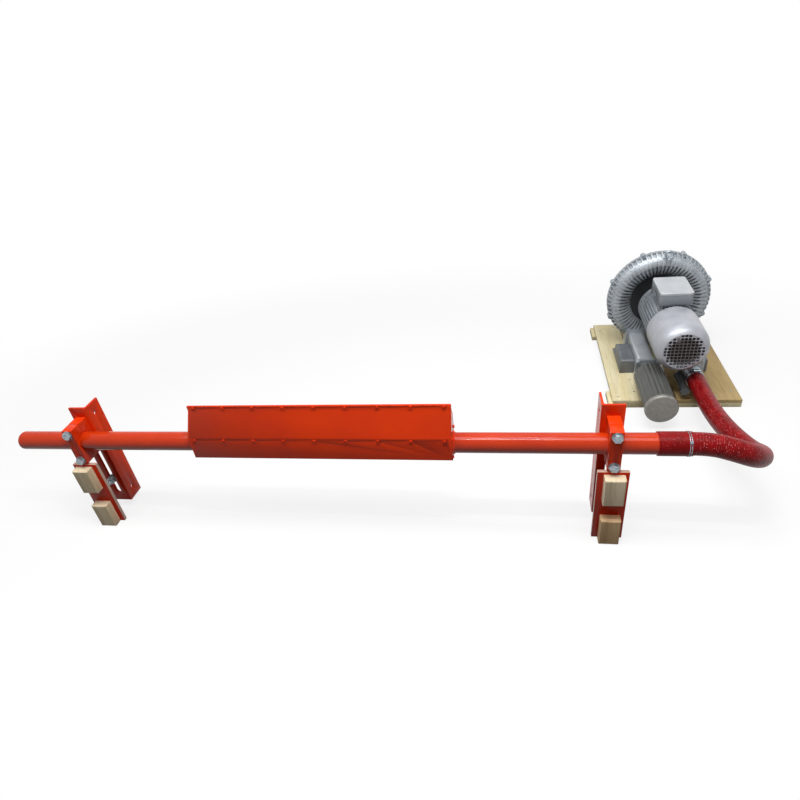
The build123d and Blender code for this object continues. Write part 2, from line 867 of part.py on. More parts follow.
with BuildPart() as front_housing:
    half_ring(1)
    flange_and_lugs(1)
    with BuildSketch(ring_face):
        box_profile(-port_block_width / 2, port_block_width / 2, -port_block_drop, -web_radius)
    extrude(amount=port_reach)
    with BuildSketch(blower_plane(web_gap)):
        Circle(web_radius)
    extrude(amount=web_thickness)
    with BuildSketch(blower_plane(web_gap)):
        Circle(hub_radius)
    extrude(amount=hub_reach - web_gap)
    with BuildSketch(blower_plane(hub_reach - hub_flange_thickness)):
        Circle(fin_radius)
    extrude(amount=hub_flange_thickness)
    crest(1)
    ring_ribs(1, *outer_ribs)
    ring_ribs(1, *inner_ribs)
    with BuildSketch(eye_base):
        Circle(eye_collar_radius)
    extrude(amount=-eye_boss_depth)
    ring_channel(1)
    with BuildSketch(blower_plane(port_reach)):
        with Locations(*port_places):
            Circle(port_bore / 2)
    extrude(amount=envelope_reach - port_reach, mode=Mode.SUBTRACT)
    with BuildSketch(blower_plane(lug_thickness)):
        with Locations(*lug_places):
            Circle(lug_spotface)
    extrude(amount=shell_radius, mode=Mode.SUBTRACT)
    with BuildSketch(ring_face):
        with Locations(*lug_places):
            Circle(lug_screw_diameter / 2 + screw_clearance)
    extrude(amount=lug_thickness, mode=Mode.SUBTRACT)
    with BuildSketch(ring_face):
        Circle(journal_radius + 2)
    extrude(amount=hub_reach, mode=Mode.SUBTRACT)
    with BuildSketch(blower_plane(hub_reach)):
        Circle(bearing_outer_radius + fit)
    extrude(amount=-bearing_width - 1, mode=Mode.SUBTRACT)

with BuildPart() as rear_housing:
    half_ring(-1)
    flange_and_lugs(-1)
    with BuildSketch(blower_plane(-web_gap - web_thickness)):
        Circle(web_radius)
    extrude(amount=web_thickness)
    ring_ribs(-1, *outer_ribs)
    ring_channel(-1)
    with BuildSketch(ring_face):
        with Locations(*lug_places):
            Circle(lug_screw_diameter / 2 + fit)
    extrude(amount=-lug_thickness + 3, mode=Mode.SUBTRACT)

with BuildPart() as housing_screws:
    screw_set(blower_plane(lug_thickness), lug_places, lug_screw_diameter / 2,
              lug_screw_length, lug_screw_head_width, lug_screw_head_height)

eye_centre = eye_collar_height + eye_ring_radius + eye_wire_radius - 2

with BuildPart() as lifting_eye:
    with BuildSketch(eye_base):
        RegularPolygon(eye_collar_radius - 1, 12)
    extrude(amount=eye_collar_height)
    eye_middle = eye_base.origin + Vector(0, 0, eye_centre)
    with BuildSketch(facing_right(*eye_middle)):
        with Locations((0, eye_ring_radius)):
            RegularPolygon(eye_wire_radius, 8)
    revolve(axis=Axis(eye_middle, (0, 1, 0)))

# ---------------------------------------------------------------- impeller and motor

fan_reach = frame_end + fan_setback
fan_end = fan_reach + fan_plate + fan_width
bearing_reaches = (hub_reach - bearing_width, frame_end + 1)
core_middle = hub_reach + frame_length / 2


def disc(reach, radius, length):
    with BuildSketch(blower_plane(reach)) as section:
        Circle(radius)
    extrude(section.sketch, amount=length)


def bore(reach, radius, length):
    with BuildSketch(blower_plane(reach)) as section:
        Circle(radius)
    extrude(section.sketch, amount=length, mode=Mode.SUBTRACT)


with BuildPart() as impeller:
    disc(-impeller_disc, impeller_rim_outer, 2 * impeller_disc)
    disc(-impeller_hub_half, impeller_hub_radius, 2 * impeller_hub_half)
    with BuildSketch(blower_plane(-impeller_rim)):
        Circle(impeller_rim_inner + impeller_rim_wall)
        Circle(impeller_rim_inner, mode=Mode.SUBTRACT)
    extrude(amount=2 * impeller_rim)
    with BuildSketch(*radial_planes(vane_count, 0)):
        box_profile(-impeller_rim, impeller_rim, impeller_rim_inner + 1, impeller_rim_outer - 1)
    extrude(amount=vane_thickness / 2, both=True)
    bore(-impeller_rim, impeller_seat_radius + fit, 2 * impeller_rim)

with BuildPart() as motor_shaft:
    disc(-impeller_hub_half, impeller_seat_radius, fan_end + impeller_hub_half - 40)
    disc(bearing_reaches[0] - 2, journal_radius, bearing_reaches[1] + bearing_width + 4
         - bearing_reaches[0])
    disc(hub_reach + 2, shaft_radius, frame_length - 4)
    bore(frame_end + shield_thickness, fan_seat_radius + 10, fan_end)
    disc(frame_end + shield_thickness, fan_seat_radius, fan_end - frame_end - shield_thickness)

with BuildPart() as motor_bearings:
    for reach in bearing_reaches:
        with BuildSketch(blower_plane(reach)):
            Circle(bearing_outer_radius)
            Circle(journal_radius + running_clearance, mode=Mode.SUBTRACT)
        extrude(amount=bearing_width)

with BuildPart() as motor_frame:
    disc(hub_reach, frame_bore + frame_wall, frame_length)
    disc(hub_reach, fin_radius, 12)
    disc(frame_end - 9, fin_radius, 9)
    with BuildSketch(*radial_planes(fin_count, 180 / fin_count)):
        box_profile(hub_reach + 1, frame_end - 1, frame_bore + 2, fin_radius)
    extrude(amount=fin_thickness / 2, both=True)
    with BuildSketch(Plane.XY.offset(blower_z)):
        pad_start = hub_reach + terminal_inset + 10
        pad_end = hub_reach + terminal_inset + terminal_length - 15
        box_profile(blower_x - 56, blower_x + 56, blower_y - pad_end, blower_y - pad_start)
    extrude(amount=terminal_rise)
    bore(hub_reach, frame_bore, frame_length)
    with BuildSketch(Plane.XY.offset(blower_z)):
        with Locations((blower_x, blower_y - hub_reach - terminal_inset - terminal_length / 2)):
            Rectangle(wire_hole_width, wire_hole_length)
    extrude(amount=terminal_rise, mode=Mode.SUBTRACT)

with BuildPart() as stator_core:
    disc(core_middle - stator_length / 2, frame_bore - fit, stator_length)
    disc(core_middle - stator_length / 2 - 24, frame_bore - 8, stator_length + 48)
    bore(hub_reach, stator_bore, frame_length)

with BuildPart() as rotor_core:
    disc(core_middle - rotor_length / 2, stator_bore - rotor_gap, rotor_length)
    bore(hub_reach, shaft_radius + fit, frame_length)

with BuildPart() as rear_end_shield:
    disc(frame_end, shield_radius, shield_thickness)
    with BuildSketch(blower_plane(frame_end)):
        lug_half = cowl_radius - cowl_wall - 0.9
        for turn in (45, 135):
            Rectangle(2 * lug_half, shield_lug_width, rotation=turn)
    extrude(amount=shield_thickness)
    bore(frame_end, bearing_outer_radius + fit, bearing_width + 2)
    bore(frame_end, journal_radius + 2, shield_thickness)

with BuildPart() as cooling_fan:
    disc(fan_reach, fan_radius, fan_plate)
    disc(fan_reach, fan_hub_radius, fan_plate + fan_width)
    with BuildSketch(*radial_planes(fan_blade_count, 0)):
        box_profile(fan_reach + 1, fan_reach + fan_plate + fan_width, fan_hub_radius - 2,
                    fan_radius - 2)
    extrude(amount=fan_blade_thickness / 2, both=True)
    bore(fan_reach, fan_seat_radius + fit, fan_plate + fan_width)


def cowl_solid(inset, start, mode):
    """Round cowl with a curved shoulder, shrunk all round by the given inset."""
    shoulder = cowl_end - cowl_shoulder
    with BuildSketch(radial_plane(0)) as section:
        with BuildLine():
            side = Polyline((start, 0), (start, cowl_radius - inset), (shoulder, cowl_radius - inset))
            rim = TangentArc((shoulder, cowl_radius - inset), (cowl_end - inset, grille_radius),
                             tangent=(1, 0))
            Polyline(rim @ 1, (cowl_end - inset, 0), side @ 0)
        make_face()
    revolve(section.sketch, axis=blower_axis, mode=mode)


grille_reach = int(grille_radius / grille_pitch)
grille_steps = range(-grille_reach, grille_reach + 1)
grille_places = [
    (i * grille_pitch, j * grille_pitch)
    for i in grille_steps
    for j in grille_steps
    if grille_pitch * (i * i + j * j) ** 0.5 < grille_radius - grille_edge
]

with BuildPart() as fan_cowl:
    cowl_solid(0, cowl_start, Mode.ADD)
    cowl_solid(cowl_wall, cowl_start, Mode.SUBTRACT)
    with BuildSketch(blower_plane(cowl_end)):
        with Locations(*grille_places):
            Rectangle(grille_hole, grille_hole)
        Circle(grille_radius - grille_edge, mode=Mode.INTERSECT)
    extrude(amount=-grille_thickness, mode=Mode.SUBTRACT)

# ---------------------------------------------------------------- terminal box

terminal_y = blower_y - hub_reach - terminal_inset - terminal_length / 2
terminal_z = blower_z + terminal_rise
lid_z = terminal_z + terminal_height - lid_height
cable_hole_z = terminal_z + (terminal_height - lid_height) / 2
terminal_plane = Plane(origin=(blower_x, terminal_y, terminal_z))
lid_plane = Plane(origin=(blower_x, terminal_y, lid_z))

with BuildPart() as terminal_box:
    with BuildSketch(terminal_plane):
        RectangleRounded(terminal_width, terminal_length, terminal_corner)
    extrude(amount=terminal_height - lid_height)
    with BuildSketch(terminal_plane.offset(terminal_wall)):
        RectangleRounded(terminal_width - 2 * terminal_wall, terminal_length - 2 * terminal_wall,
                         terminal_corner - terminal_wall)
    extrude(amount=terminal_height, mode=Mode.SUBTRACT)
    with BuildSketch(terminal_plane):
        Rectangle(wire_hole_width, wire_hole_length)
    extrude(amount=terminal_wall, mode=Mode.SUBTRACT)
    with BuildSketch(facing_left(blower_x, terminal_y, cable_hole_z)):
        Circle(cable_hole_diameter / 2)
    extrude(amount=terminal_width, mode=Mode.SUBTRACT)

with BuildPart() as terminal_lid:
    with BuildSketch(lid_plane):
        RectangleRounded(terminal_width, terminal_length, terminal_corner)
    extrude(amount=lid_height)
    fillet(terminal_lid.faces().sort_by(Axis.Z)[-1].edges(), 4)
    with BuildSketch(lid_plane):
        RectangleRounded(terminal_width - 2 * terminal_wall, terminal_length - 2 * terminal_wall,
                         terminal_corner - terminal_wall)
    extrude(amount=lid_height - terminal_wall, mode=Mode.SUBTRACT)

# ---------------------------------------------------------------- silencers and feet


def silencer(side):
    with BuildSketch(blower_plane(port_reach)) as section:
        with Locations((side * silencer_reach, -silencer_drop)):
            RectangleRounded(silencer_width, silencer_depth, silencer_corner)
    extrude(section.sketch, amount=silencer_length)
    with BuildSketch(blower_plane(port_reach)) as section:
        with Locations((side * silencer_reach, -silencer_drop)):
            RectangleRounded(silencer_width - 2 * silencer_wall,
                             silencer_depth - 2 * silencer_wall,
                             silencer_corner - silencer_wall)
    extrude(section.sketch, amount=silencer_length - silencer_wall, mode=Mode.SUBTRACT)
    with BuildSketch(blower_plane(silencer_end)) as section:
        with Locations((side * silencer_reach, -silencer_drop)):
            Circle(port_bore / 2)
    extrude(section.sketch, amount=-silencer_wall, mode=Mode.SUBTRACT)


with BuildPart() as inlet_silencer:
    silencer(-1)

with BuildPart() as outlet_silencer:
    silencer(1)

box_front = port_reach + foot_inset + foot_length
box_back = port_reach + foot_inset
foot_inner = foot_outer - foot_box_width


def foot(side):
    """Pressed box foot beside a silencer, open underneath, with flat screw tabs."""
    near, far = sorted((blower_x + side * foot_inner, blower_x + side * foot_outer))
    with BuildSketch(Plane.XY.offset(deck_height)) as section:
        box_profile(near, far, blower_y - box_front, blower_y - box_back)
    box = extrude(section.sketch, amount=foot_box_height)
    fillet(box.edges().group_by(Axis.Z)[-1], foot_corner)
    with BuildSketch(Plane.XY.offset(deck_height)) as section:
        box_profile(near + foot_wall, far - foot_wall, blower_y - box_front + foot_wall,
                    blower_y - box_back - foot_wall)
    extrude(section.sketch, amount=foot_box_height - foot_wall, mode=Mode.SUBTRACT)
    with BuildSketch(Plane.XY.offset(deck_height)) as section:
        box_profile(near, far, blower_y - box_back - 1, blower_y - box_back + rear_tab_length)
        tab_near, tab_far = sorted((foot_inner + 1, foot_inner - inner_tab_width))
        tab_edges = sorted((blower_x + side * tab_near, blower_x + side * tab_far))
        tab_y = blower_y - inner_tab_reach
        box_profile(*tab_edges, tab_y - inner_tab_width / 2, tab_y + inner_tab_width / 2)
    extrude(section.sketch, amount=foot_plate)
    places = [p for p in foot_screw_places if side * (p[0] - blower_x) > 0]
    with BuildSketch(Plane.XY.offset(deck_height)) as section:
        with Locations(*places):
            Circle(foot_screw_diameter / 2 + screw_clearance)
    extrude(section.sketch, amount=foot_plate, mode=Mode.SUBTRACT)


with BuildPart() as left_foot:
    foot(-1)

with BuildPart() as right_foot:
    foot(1)

with BuildPart() as foot_screws:
    screw_set(Plane.XY.offset(deck_height + foot_plate), foot_screw_places,
              foot_screw_diameter / 2 - fit, foot_plate + plank_thickness,
              foot_screw_head_width, foot_screw_head_height)

# ---------------------------------------------------------------- intake filter

filter_start = flange_end + filter_neck_length
filter_end = filter_start + filter_length


def at_port(reach, side):
    """Front-facing plane centred on a silencer's axis."""
    return facing_front(blower_x + side * silencer_reach, blower_y - reach, blower_z - silencer_drop)


def pipe_flange(side):
    """Square flange on a silencer's end, with four bolt heads."""
    bolt_pitch = pipe_flange_size - 2 * flange_bolt_inset
    with BuildSketch(at_port(silencer_end, side)) as section:
        RectangleRounded(pipe_flange_size, pipe_flange_size, silencer_corner)
        Circle(port_bore / 2, mode=Mode.SUBTRACT)
    extrude(section.sketch, amount=pipe_flange_thickness)
    with BuildSketch(at_port(flange_end, side)) as section:
        with GridLocations(bolt_pitch, bolt_pitch, 2, 2):
            RegularPolygon(flange_bolt_width / 2, 6, major_radius=False)
    extrude(section.sketch, amount=flange_bolt_height)


with BuildPart() as filter_flange:
    pipe_flange(-1)
    with BuildSketch(at_port(flange_end, -1)):
        Circle(filter_neck_radius)
        Circle(port_bore / 2, mode=Mode.SUBTRACT)
    extrude(amount=filter_neck_length)

with BuildPart() as filter_body:
    with BuildSketch(at_port(filter_start, -1)):
        Circle(filter_radius - filter_rib_height)
        with PolarLocations(filter_radius - filter_rib_height, filter_rib_count):
            Rectangle(2 * filter_rib_height, filter_rib_width)
    extrude(amount=filter_length)
    with BuildSketch(at_port(filter_start + filter_wall, -1)):
        Circle(filter_radius - filter_rib_height - filter_wall)
    extrude(amount=filter_length, mode=Mode.SUBTRACT)
    with BuildSketch(at_port(filter_start, -1)):
        Circle(port_bore / 2)
    extrude(amount=filter_wall, mode=Mode.SUBTRACT)

with BuildPart() as filter_cap:
    with BuildSketch(at_port(filter_end + 4, -1)):
        Circle(filter_cap_radius)
    extrude(amount=-filter_cap_height)
    chamfer(filter_cap.faces().sort_by(Axis.Y)[0].edges(), filter_cap_edge)
    with BuildSketch(at_port(filter_end, -1)):
        Circle(filter_radius + fit)
    extrude(amount=-filter_cap_height, mode=Mode.SUBTRACT)

# ---------------------------------------------------------------- outlet and hose

hose_bore = hose_od / 2 - hose_wall
nipple_insert = 45.0
valve_side = silencer_reach - valve_offset
valve_height = -silencer_drop - valve_drop
valve_rear = flange_end + valve_start

with BuildPart() as outlet_nipple:
    pipe_flange(1)
    with BuildSketch(at_port(flange_end, 1)):
        Circle(hose_od / 2)
    extrude(amount=nipple_length)
    with BuildSketch(at_port(hose_end, 1)):
        Circle(hose_bore - fit)
    extrude(amount=nipple_insert)
    with BuildSketch(at_port(silencer_end, 1)):
        Circle(port_bore / 2)
    extrude(amount=hose_end + nipple_insert - silencer_end, mode=Mode.SUBTRACT)

with BuildPart() as relief_valve:
    with BuildSketch(blower_plane(valve_rear)):
        with Locations((valve_side, valve_height)):
            Circle(valve_radius)
    extrude(amount=valve_length)
    with BuildSketch(blower_plane(valve_rear + valve_length - valve_knob_length)):
        with Locations((valve_side, valve_height)):
            RegularPolygon(valve_knob_radius, 16)
    extrude(amount=valve_knob_length)
    with BuildSketch(facing_right(blower_x + valve_side, blower_y - valve_rear - valve_radius,
                                  blower_z + valve_height)):
        Circle(valve_arm_radius)
    extrude(amount=valve_offset)
    with BuildSketch(at_port(flange_end, 1)):
        Circle(hose_od / 2 + fit)
    extrude(amount=nipple_length, mode=Mode.SUBTRACT)

cuff_start = pipe_end - cuff_lap
cuff_end = cuff_start + cuff_length

with BuildPart() as hose_cuff:
    with BuildSketch(facing_right(cuff_start, pipe_y, pipe_height)):
        Circle(cuff_od / 2)
    extrude(amount=cuff_length)
    with BuildSketch(facing_right(cuff_start, pipe_y, pipe_height)):
        Circle(hose_bore)
    extrude(amount=cuff_length, mode=Mode.SUBTRACT)
    with BuildSketch(facing_right(cuff_start, pipe_y, pipe_height)):
        Circle(pipe_radius + fit)
    extrude(amount=cuff_lap, mode=Mode.SUBTRACT)

# hose route: distances right of the right bracket, behind the pipe axis, above the floor
hose_rise = blower_z - silencer_drop
hose_end_run = 145
hose_outlet_x = base_gap + blower_inset + silencer_reach
hose_outlet_y = base_setback + ring_setback - hose_end
hose_start_x = right_overhang + cuff_length - cuff_lap
hose_route = (
    (hose_start_x, 0, pipe_height),
    (hose_start_x + 62, 0, pipe_height),
    (hose_start_x + 135, -8, 398),
    (484, -1, 371),
    (541, 55, 316),
    (581, 131, 261),
    (584, 206, 216),
    (567, 299, 196),
    (555, 416, 172),
    (553, 567, hose_rise + 22),
    (hose_outlet_x, hose_outlet_y - hose_end_run, hose_rise),
    (hose_outlet_x, hose_outlet_y, hose_rise),
)
hose_points = [Vector(right_bracket_x + x, pipe_y + y, z) for x, y, z in hose_route]


def bend_radius(before, corner, after):
    """Radius whose tangent length is 0.45 of the shorter run beside the corner."""
    turn = (corner - before).get_angle(after - corner)
    shorter = min((corner - before).length, (after - corner).length)
    return 0.45 * shorter / tan(radians(turn / 2))


hose_radii = [bend_radius(*hose_points[i - 1 : i + 2]) for i in range(1, len(hose_points) - 1)]
print("hose radii", [round(r, 1) for r in hose_radii])

with BuildPart() as air_hose:
    with BuildLine() as hose_line:
        FilletPolyline(*hose_points, radius=hose_radii)
    with BuildSketch(Plane(origin=hose_points[0], z_dir=(1, 0, 0))):
        Circle(hose_od / 2)
        Circle(hose_bore, mode=Mode.SUBTRACT)
    sweep()

hose_length = sum(edge.length for edge in hose_line.edges())
hose_section = pi * ((hose_od / 2) ** 2 - hose_bore ** 2)
print("hose length", round(hose_length, 1), "volume ratio",
      round(air_hose.part.volume / (hose_section * hose_length), 5))


def band(plane, radius, across):
    """Worm-drive clamp round a tube; its screw lies across the tube, on top."""
    with BuildSketch(plane) as section:
        Circle(radius + fit + clamp_band_thickness)
        Circle(radius + fit, mode=Mode.SUBTRACT)
    extrude(section.sketch, amount=clamp_band_width)
    middle = plane.origin + plane.z_dir * (clamp_band_width / 2)
    top = middle.Z + radius + fit + clamp_screw_radius
    start = Vector(middle.X, middle.Y, top) - across * (clamp_screw_length / 2)
    with BuildSketch(Plane(origin=start, z_dir=across)) as section:
        Circle(clamp_screw_radius - 0.5)
    extrude(section.sketch, amount=clamp_screw_length)


with BuildPart() as hose_clamps:
    for reach in clamp_reaches:
        band(at_port(hose_end + reach, 1), hose_od / 2, Vector(1, 0, 0))

# ---------------------------------------------------------------- export

air_pipe.part.label = "air_pipe"
pipe_end_cap.part.label = "pipe_end_cap"
plenum_trough.part.label = "plenum_trough"
front_hood.part.label = "front_hood"
rear_hood.part.label = "rear_hood"
nozzle_spacers.part.label = "nozzle_spacers"
left_end_plate.part.label = "left_end_plate"
right_end_plate.part.label = "right_end_plate"
plenum_screws.part.label = "plenum_screws"
right_angle.part.label = "right_angle"
right_clamp_front.part.label = "right_clamp_front"
right_clamp_rear.part.label = "right_clamp_rear"
right_clamp_plate.part.label = "right_clamp_plate"
right_upper_block.part.label = "right_upper_block"
right_lower_block.part.label = "right_lower_block"
left_angle.part.label = "left_angle"
left_clamp_front.part.label = "left_clamp_front"
left_clamp_rear.part.label = "left_clamp_rear"
left_clamp_plate.part.label = "left_clamp_plate"
left_upper_block.part.label = "left_upper_block"
left_lower_block.part.label = "left_lower_block"
clamp_bolts.part.label = "clamp_bolts"
bracket_washers.part.label = "bracket_washers"
bracket_nuts.part.label = "bracket_nuts"
plate_studs.part.label = "plate_studs"
plank_1.part.label = "plank_1"
plank_2.part.label = "plank_2"
plank_3.part.label = "plank_3"
plank_4.part.label = "plank_4"
front_cleat.part.label = "front_cleat"
rear_cleat.part.label = "rear_cleat"
deck_nails.part.label = "deck_nails"
front_housing.part.label = "front_housing"
rear_housing.part.label = "rear_housing"
housing_screws.part.label = "housing_screws"
lifting_eye.part.label = "lifting_eye"
impeller.part.label = "impeller"
motor_shaft.part.label = "motor_shaft"
motor_bearings.part.label = "motor_bearings"
motor_frame.part.label = "motor_frame"
stator_core.part.label = "stator_core"
rotor_core.part.label = "rotor_core"
rear_end_shield.part.label = "rear_end_shield"
cooling_fan.part.label = "cooling_fan"
fan_cowl.part.label = "fan_cowl"
terminal_box.part.label = "terminal_box"
terminal_lid.part.label = "terminal_lid"
inlet_silencer.part.label = "inlet_silencer"
outlet_silencer.part.label = "outlet_silencer"
left_foot.part.label = "left_foot"
right_foot.part.label = "right_foot"
foot_screws.part.label = "foot_screws"
filter_flange.part.label = "filter_flange"
filter_body.part.label = "filter_body"
filter_cap.part.label = "filter_cap"
outlet_nipple.part.label = "outlet_nipple"
relief_valve.part.label = "relief_valve"
hose_cuff.part.label = "hose_cuff"
air_hose.part.label = "air_hose"
hose_clamps.part.label = "hose_clamps"

os.makedirs("parts", exist_ok=True)
export_step(air_pipe.part, "parts/air_pipe.step")
export_step(pipe_end_cap.part, "parts/pipe_end_cap.step")
export_step(plenum_trough.part, "parts/plenum_trough.step")
export_step(front_hood.part, "parts/front_hood.step")
export_step(rear_hood.part, "parts/rear_hood.step")
export_step(nozzle_spacers.part, "parts/nozzle_spacers.step")
export_step(left_end_plate.part, "parts/left_end_plate.step")
export_step(right_end_plate.part, "parts/right_end_plate.step")
export_step(plenum_screws.part, "parts/plenum_screws.step")
export_step(right_angle.part, "parts/right_angle.step")
export_step(right_clamp_front.part, "parts/right_clamp_front.step")
export_step(right_clamp_rear.part, "parts/right_clamp_rear.step")
export_step(right_clamp_plate.part, "parts/right_clamp_plate.step")
export_step(right_upper_block.part, "parts/right_upper_block.step")
export_step(right_lower_block.part, "parts/right_lower_block.step")
export_step(left_angle.part, "parts/left_angle.step")
export_step(left_clamp_front.part, "parts/left_clamp_front.step")
export_step(left_clamp_rear.part, "parts/left_clamp_rear.step")
export_step(left_clamp_plate.part, "parts/left_clamp_plate.step")
export_step(left_upper_block.part, "parts/left_upper_block.step")
export_step(left_lower_block.part, "parts/left_lower_block.step")
export_step(clamp_bolts.part, "parts/clamp_bolts.step")
export_step(bracket_washers.part, "parts/bracket_washers.step")
export_step(bracket_nuts.part, "parts/bracket_nuts.step")
export_step(plate_studs.part, "parts/plate_studs.step")
export_step(plank_1.part, "parts/plank_1.step")
export_step(plank_2.part, "parts/plank_2.step")
export_step(plank_3.part, "parts/plank_3.step")
export_step(plank_4.part, "parts/plank_4.step")
export_step(front_cleat.part, "parts/front_cleat.step")
export_step(rear_cleat.part, "parts/rear_cleat.step")
export_step(deck_nails.part, "parts/deck_nails.step")
export_step(front_housing.part, "parts/front_housing.step")
export_step(rear_housing.part, "parts/rear_housing.step")
export_step(housing_screws.part, "parts/housing_screws.step")
export_step(lifting_eye.part, "parts/lifting_eye.step")
export_step(impeller.part, "parts/impeller.step")
export_step(motor_shaft.part, "parts/motor_shaft.step")
export_step(motor_bearings.part, "parts/motor_bearings.step")
export_step(motor_frame.part, "parts/motor_frame.step")
export_step(stator_core.part, "parts/stator_core.step")
export_step(rotor_core.part, "parts/rotor_core.step")
export_step(rear_end_shield.part, "parts/rear_end_shield.step")
export_step(cooling_fan.part, "parts/cooling_fan.step")
export_step(fan_cowl.part, "parts/fan_cowl.step")
export_step(terminal_box.part, "parts/terminal_box.step")
export_step(terminal_lid.part, "parts/terminal_lid.step")
export_step(inlet_silencer.part, "parts/inlet_silencer.step")
export_step(outlet_silencer.part, "parts/outlet_silencer.step")
export_step(left_foot.part, "parts/left_foot.step")
export_step(right_foot.part, "parts/right_foot.step")
export_step(foot_screws.part, "parts/foot_screws.step")
export_step(filter_flange.part, "parts/filter_flange.step")
export_step(filter_body.part, "parts/filter_body.step")
export_step(filter_cap.part, "parts/filter_cap.step")
export_step(outlet_nipple.part, "parts/outlet_nipple.step")
export_step(relief_valve.part, "parts/relief_valve.step")
export_step(hose_cuff.part, "parts/hose_cuff.step")
export_step(air_hose.part, "parts/air_hose.step")
export_step(hose_clamps.part, "parts/hose_clamps.step")
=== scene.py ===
import json
import math

import bmesh
import bpy
from mathutils import Matrix, Vector


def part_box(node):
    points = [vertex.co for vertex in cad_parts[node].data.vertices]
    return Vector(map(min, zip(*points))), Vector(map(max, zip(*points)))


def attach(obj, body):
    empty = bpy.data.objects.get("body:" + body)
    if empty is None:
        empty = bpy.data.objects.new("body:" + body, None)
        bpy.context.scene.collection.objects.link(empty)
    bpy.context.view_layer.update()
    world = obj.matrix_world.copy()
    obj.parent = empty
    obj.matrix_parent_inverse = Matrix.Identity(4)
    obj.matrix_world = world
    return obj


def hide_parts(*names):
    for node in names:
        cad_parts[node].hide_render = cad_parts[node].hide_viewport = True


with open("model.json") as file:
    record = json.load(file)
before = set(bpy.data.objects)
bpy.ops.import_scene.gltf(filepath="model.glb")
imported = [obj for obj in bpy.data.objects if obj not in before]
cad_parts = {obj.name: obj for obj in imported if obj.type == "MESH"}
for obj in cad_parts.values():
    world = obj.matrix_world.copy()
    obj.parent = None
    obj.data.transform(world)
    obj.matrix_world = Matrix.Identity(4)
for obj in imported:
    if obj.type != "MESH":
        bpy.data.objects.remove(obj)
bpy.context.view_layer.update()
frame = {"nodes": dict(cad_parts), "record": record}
NODES = frame["nodes"]
SLOT_OF = {part["node"]: part["material_slot"] for part in frame["record"]["subparts"]}
MM = 0.001
MERGE_DISTANCE = 0.01 * MM
# the blower's axis, where it crosses the ring's mid-plane
BLOWER = Vector((1.245, 0.590, 0.325))

# ------------------------------------------------------------------ small helpers


def srgb(code):
    """Linear colour of an sRGB hex value."""
    parts = [int(code[i : i + 2], 16) / 255 for i in (0, 2, 4)]
    linear = [c / 12.92 if c <= 0.04045 else ((c + 0.055) / 1.055) ** 2.4 for c in parts]
    return (*linear, 1.0)


def add(tree, kind, values=None, stops=(), **settings):
    """Adds a node with its settings; a value that is a socket becomes a link.

    The stops of a colour ramp are given as (place, hex colour).
    """
    node = tree.nodes.new(kind)
    for name, value in settings.items():
        setattr(node, name, value)
    for socket, value in (values or {}).items():
        if isinstance(value, bpy.types.NodeSocket):
            tree.links.new(value, node.inputs[socket])
        else:
            node.inputs[socket].default_value = value
    if stops:
        made = node.color_ramp.elements
        while len(made) < len(stops):
            made.new(0.5)
        for element, (place, code) in zip(made, stops):
            element.position = place
            element.color = srgb(code)
    return node


def new_material(name):
    material = bpy.data.materials.new(name)
    material.use_nodes = True
    material.node_tree.nodes.clear()
    return material, material.node_tree


def per_mm(size):
    """Texture scale, in cells per metre, for a pattern of the given size in millimetres."""
    return 1.0 / (size * MM)


# ------------------------------------------------------------------ finishes


def enamel_red(name, dark, light, gloss, roughness, pale_and_highlit_edges=False):
    """Orange-red enamel sprayed on steel: a bright gloss, a faint orange peel, dust in patches.

    With pale edges, the sawn edges of an upright plate are made pale: partly almost unpainted
    steel, partly a painted highlight.
    """
    material, tree = new_material(name)
    place = add(tree, "ShaderNodeTexCoord").outputs["Object"]
    patches = add(tree, "ShaderNodeTexNoise", {"Vector": place, "Scale": per_mm(160),
                                               "Detail": 4.0})
    colour = add(tree, "ShaderNodeValToRGB", {"Fac": patches.outputs["Fac"]},
                 stops=[(0.3, dark), (0.7, light)]).outputs["Color"]
    if pale_and_highlit_edges:
        # faces not square to the plate's front turn pale: painted highlight and unpainted steel on
        # its edges
        surface = add(tree, "ShaderNodeNewGeometry")
        facing = add(tree, "ShaderNodeSeparateXYZ", {"Vector": surface.outputs["Normal"]})
        square_on = add(tree, "ShaderNodeMath", {0: facing.outputs["Y"]}, operation="ABSOLUTE")
        bare_and_highlit = add(tree, "ShaderNodeMapRange",
                   {"Value": square_on.outputs["Value"], "From Min": 0.4, "From Max": 0.7,
                    "To Min": 0.85, "To Max": 0.0})
        colour = add(tree, "ShaderNodeMix", {"Factor": bare_and_highlit.outputs["Result"], 6: colour,
                                             7: srgb("D8C4B2")}, data_type="RGBA").outputs[2]
    peel = add(tree, "ShaderNodeTexNoise", {"Vector": place, "Scale": per_mm(4), "Detail": 2.0})
    bump = add(tree, "ShaderNodeBump", {"Height": peel.outputs["Fac"], "Strength": 0.1,
                                        "Distance": 0.2 * MM})
    dull = add(tree, "ShaderNodeMapRange", {"Value": patches.outputs["Fac"], "From Min": 0.35,
                                            "From Max": 0.7, "To Min": roughness - 0.05,
                                            "To Max": roughness + 0.05})
    shader = add(tree, "ShaderNodeBsdfPrincipled",
                 {"Base Color": colour, "Roughness": dull.outputs["Result"], "IOR": 1.45,
                  "Specular IOR Level": gloss, "Normal": bump.outputs["Normal"]})
    add(tree, "ShaderNodeOutputMaterial", {"Surface": shader.outputs["BSDF"]})
    return material


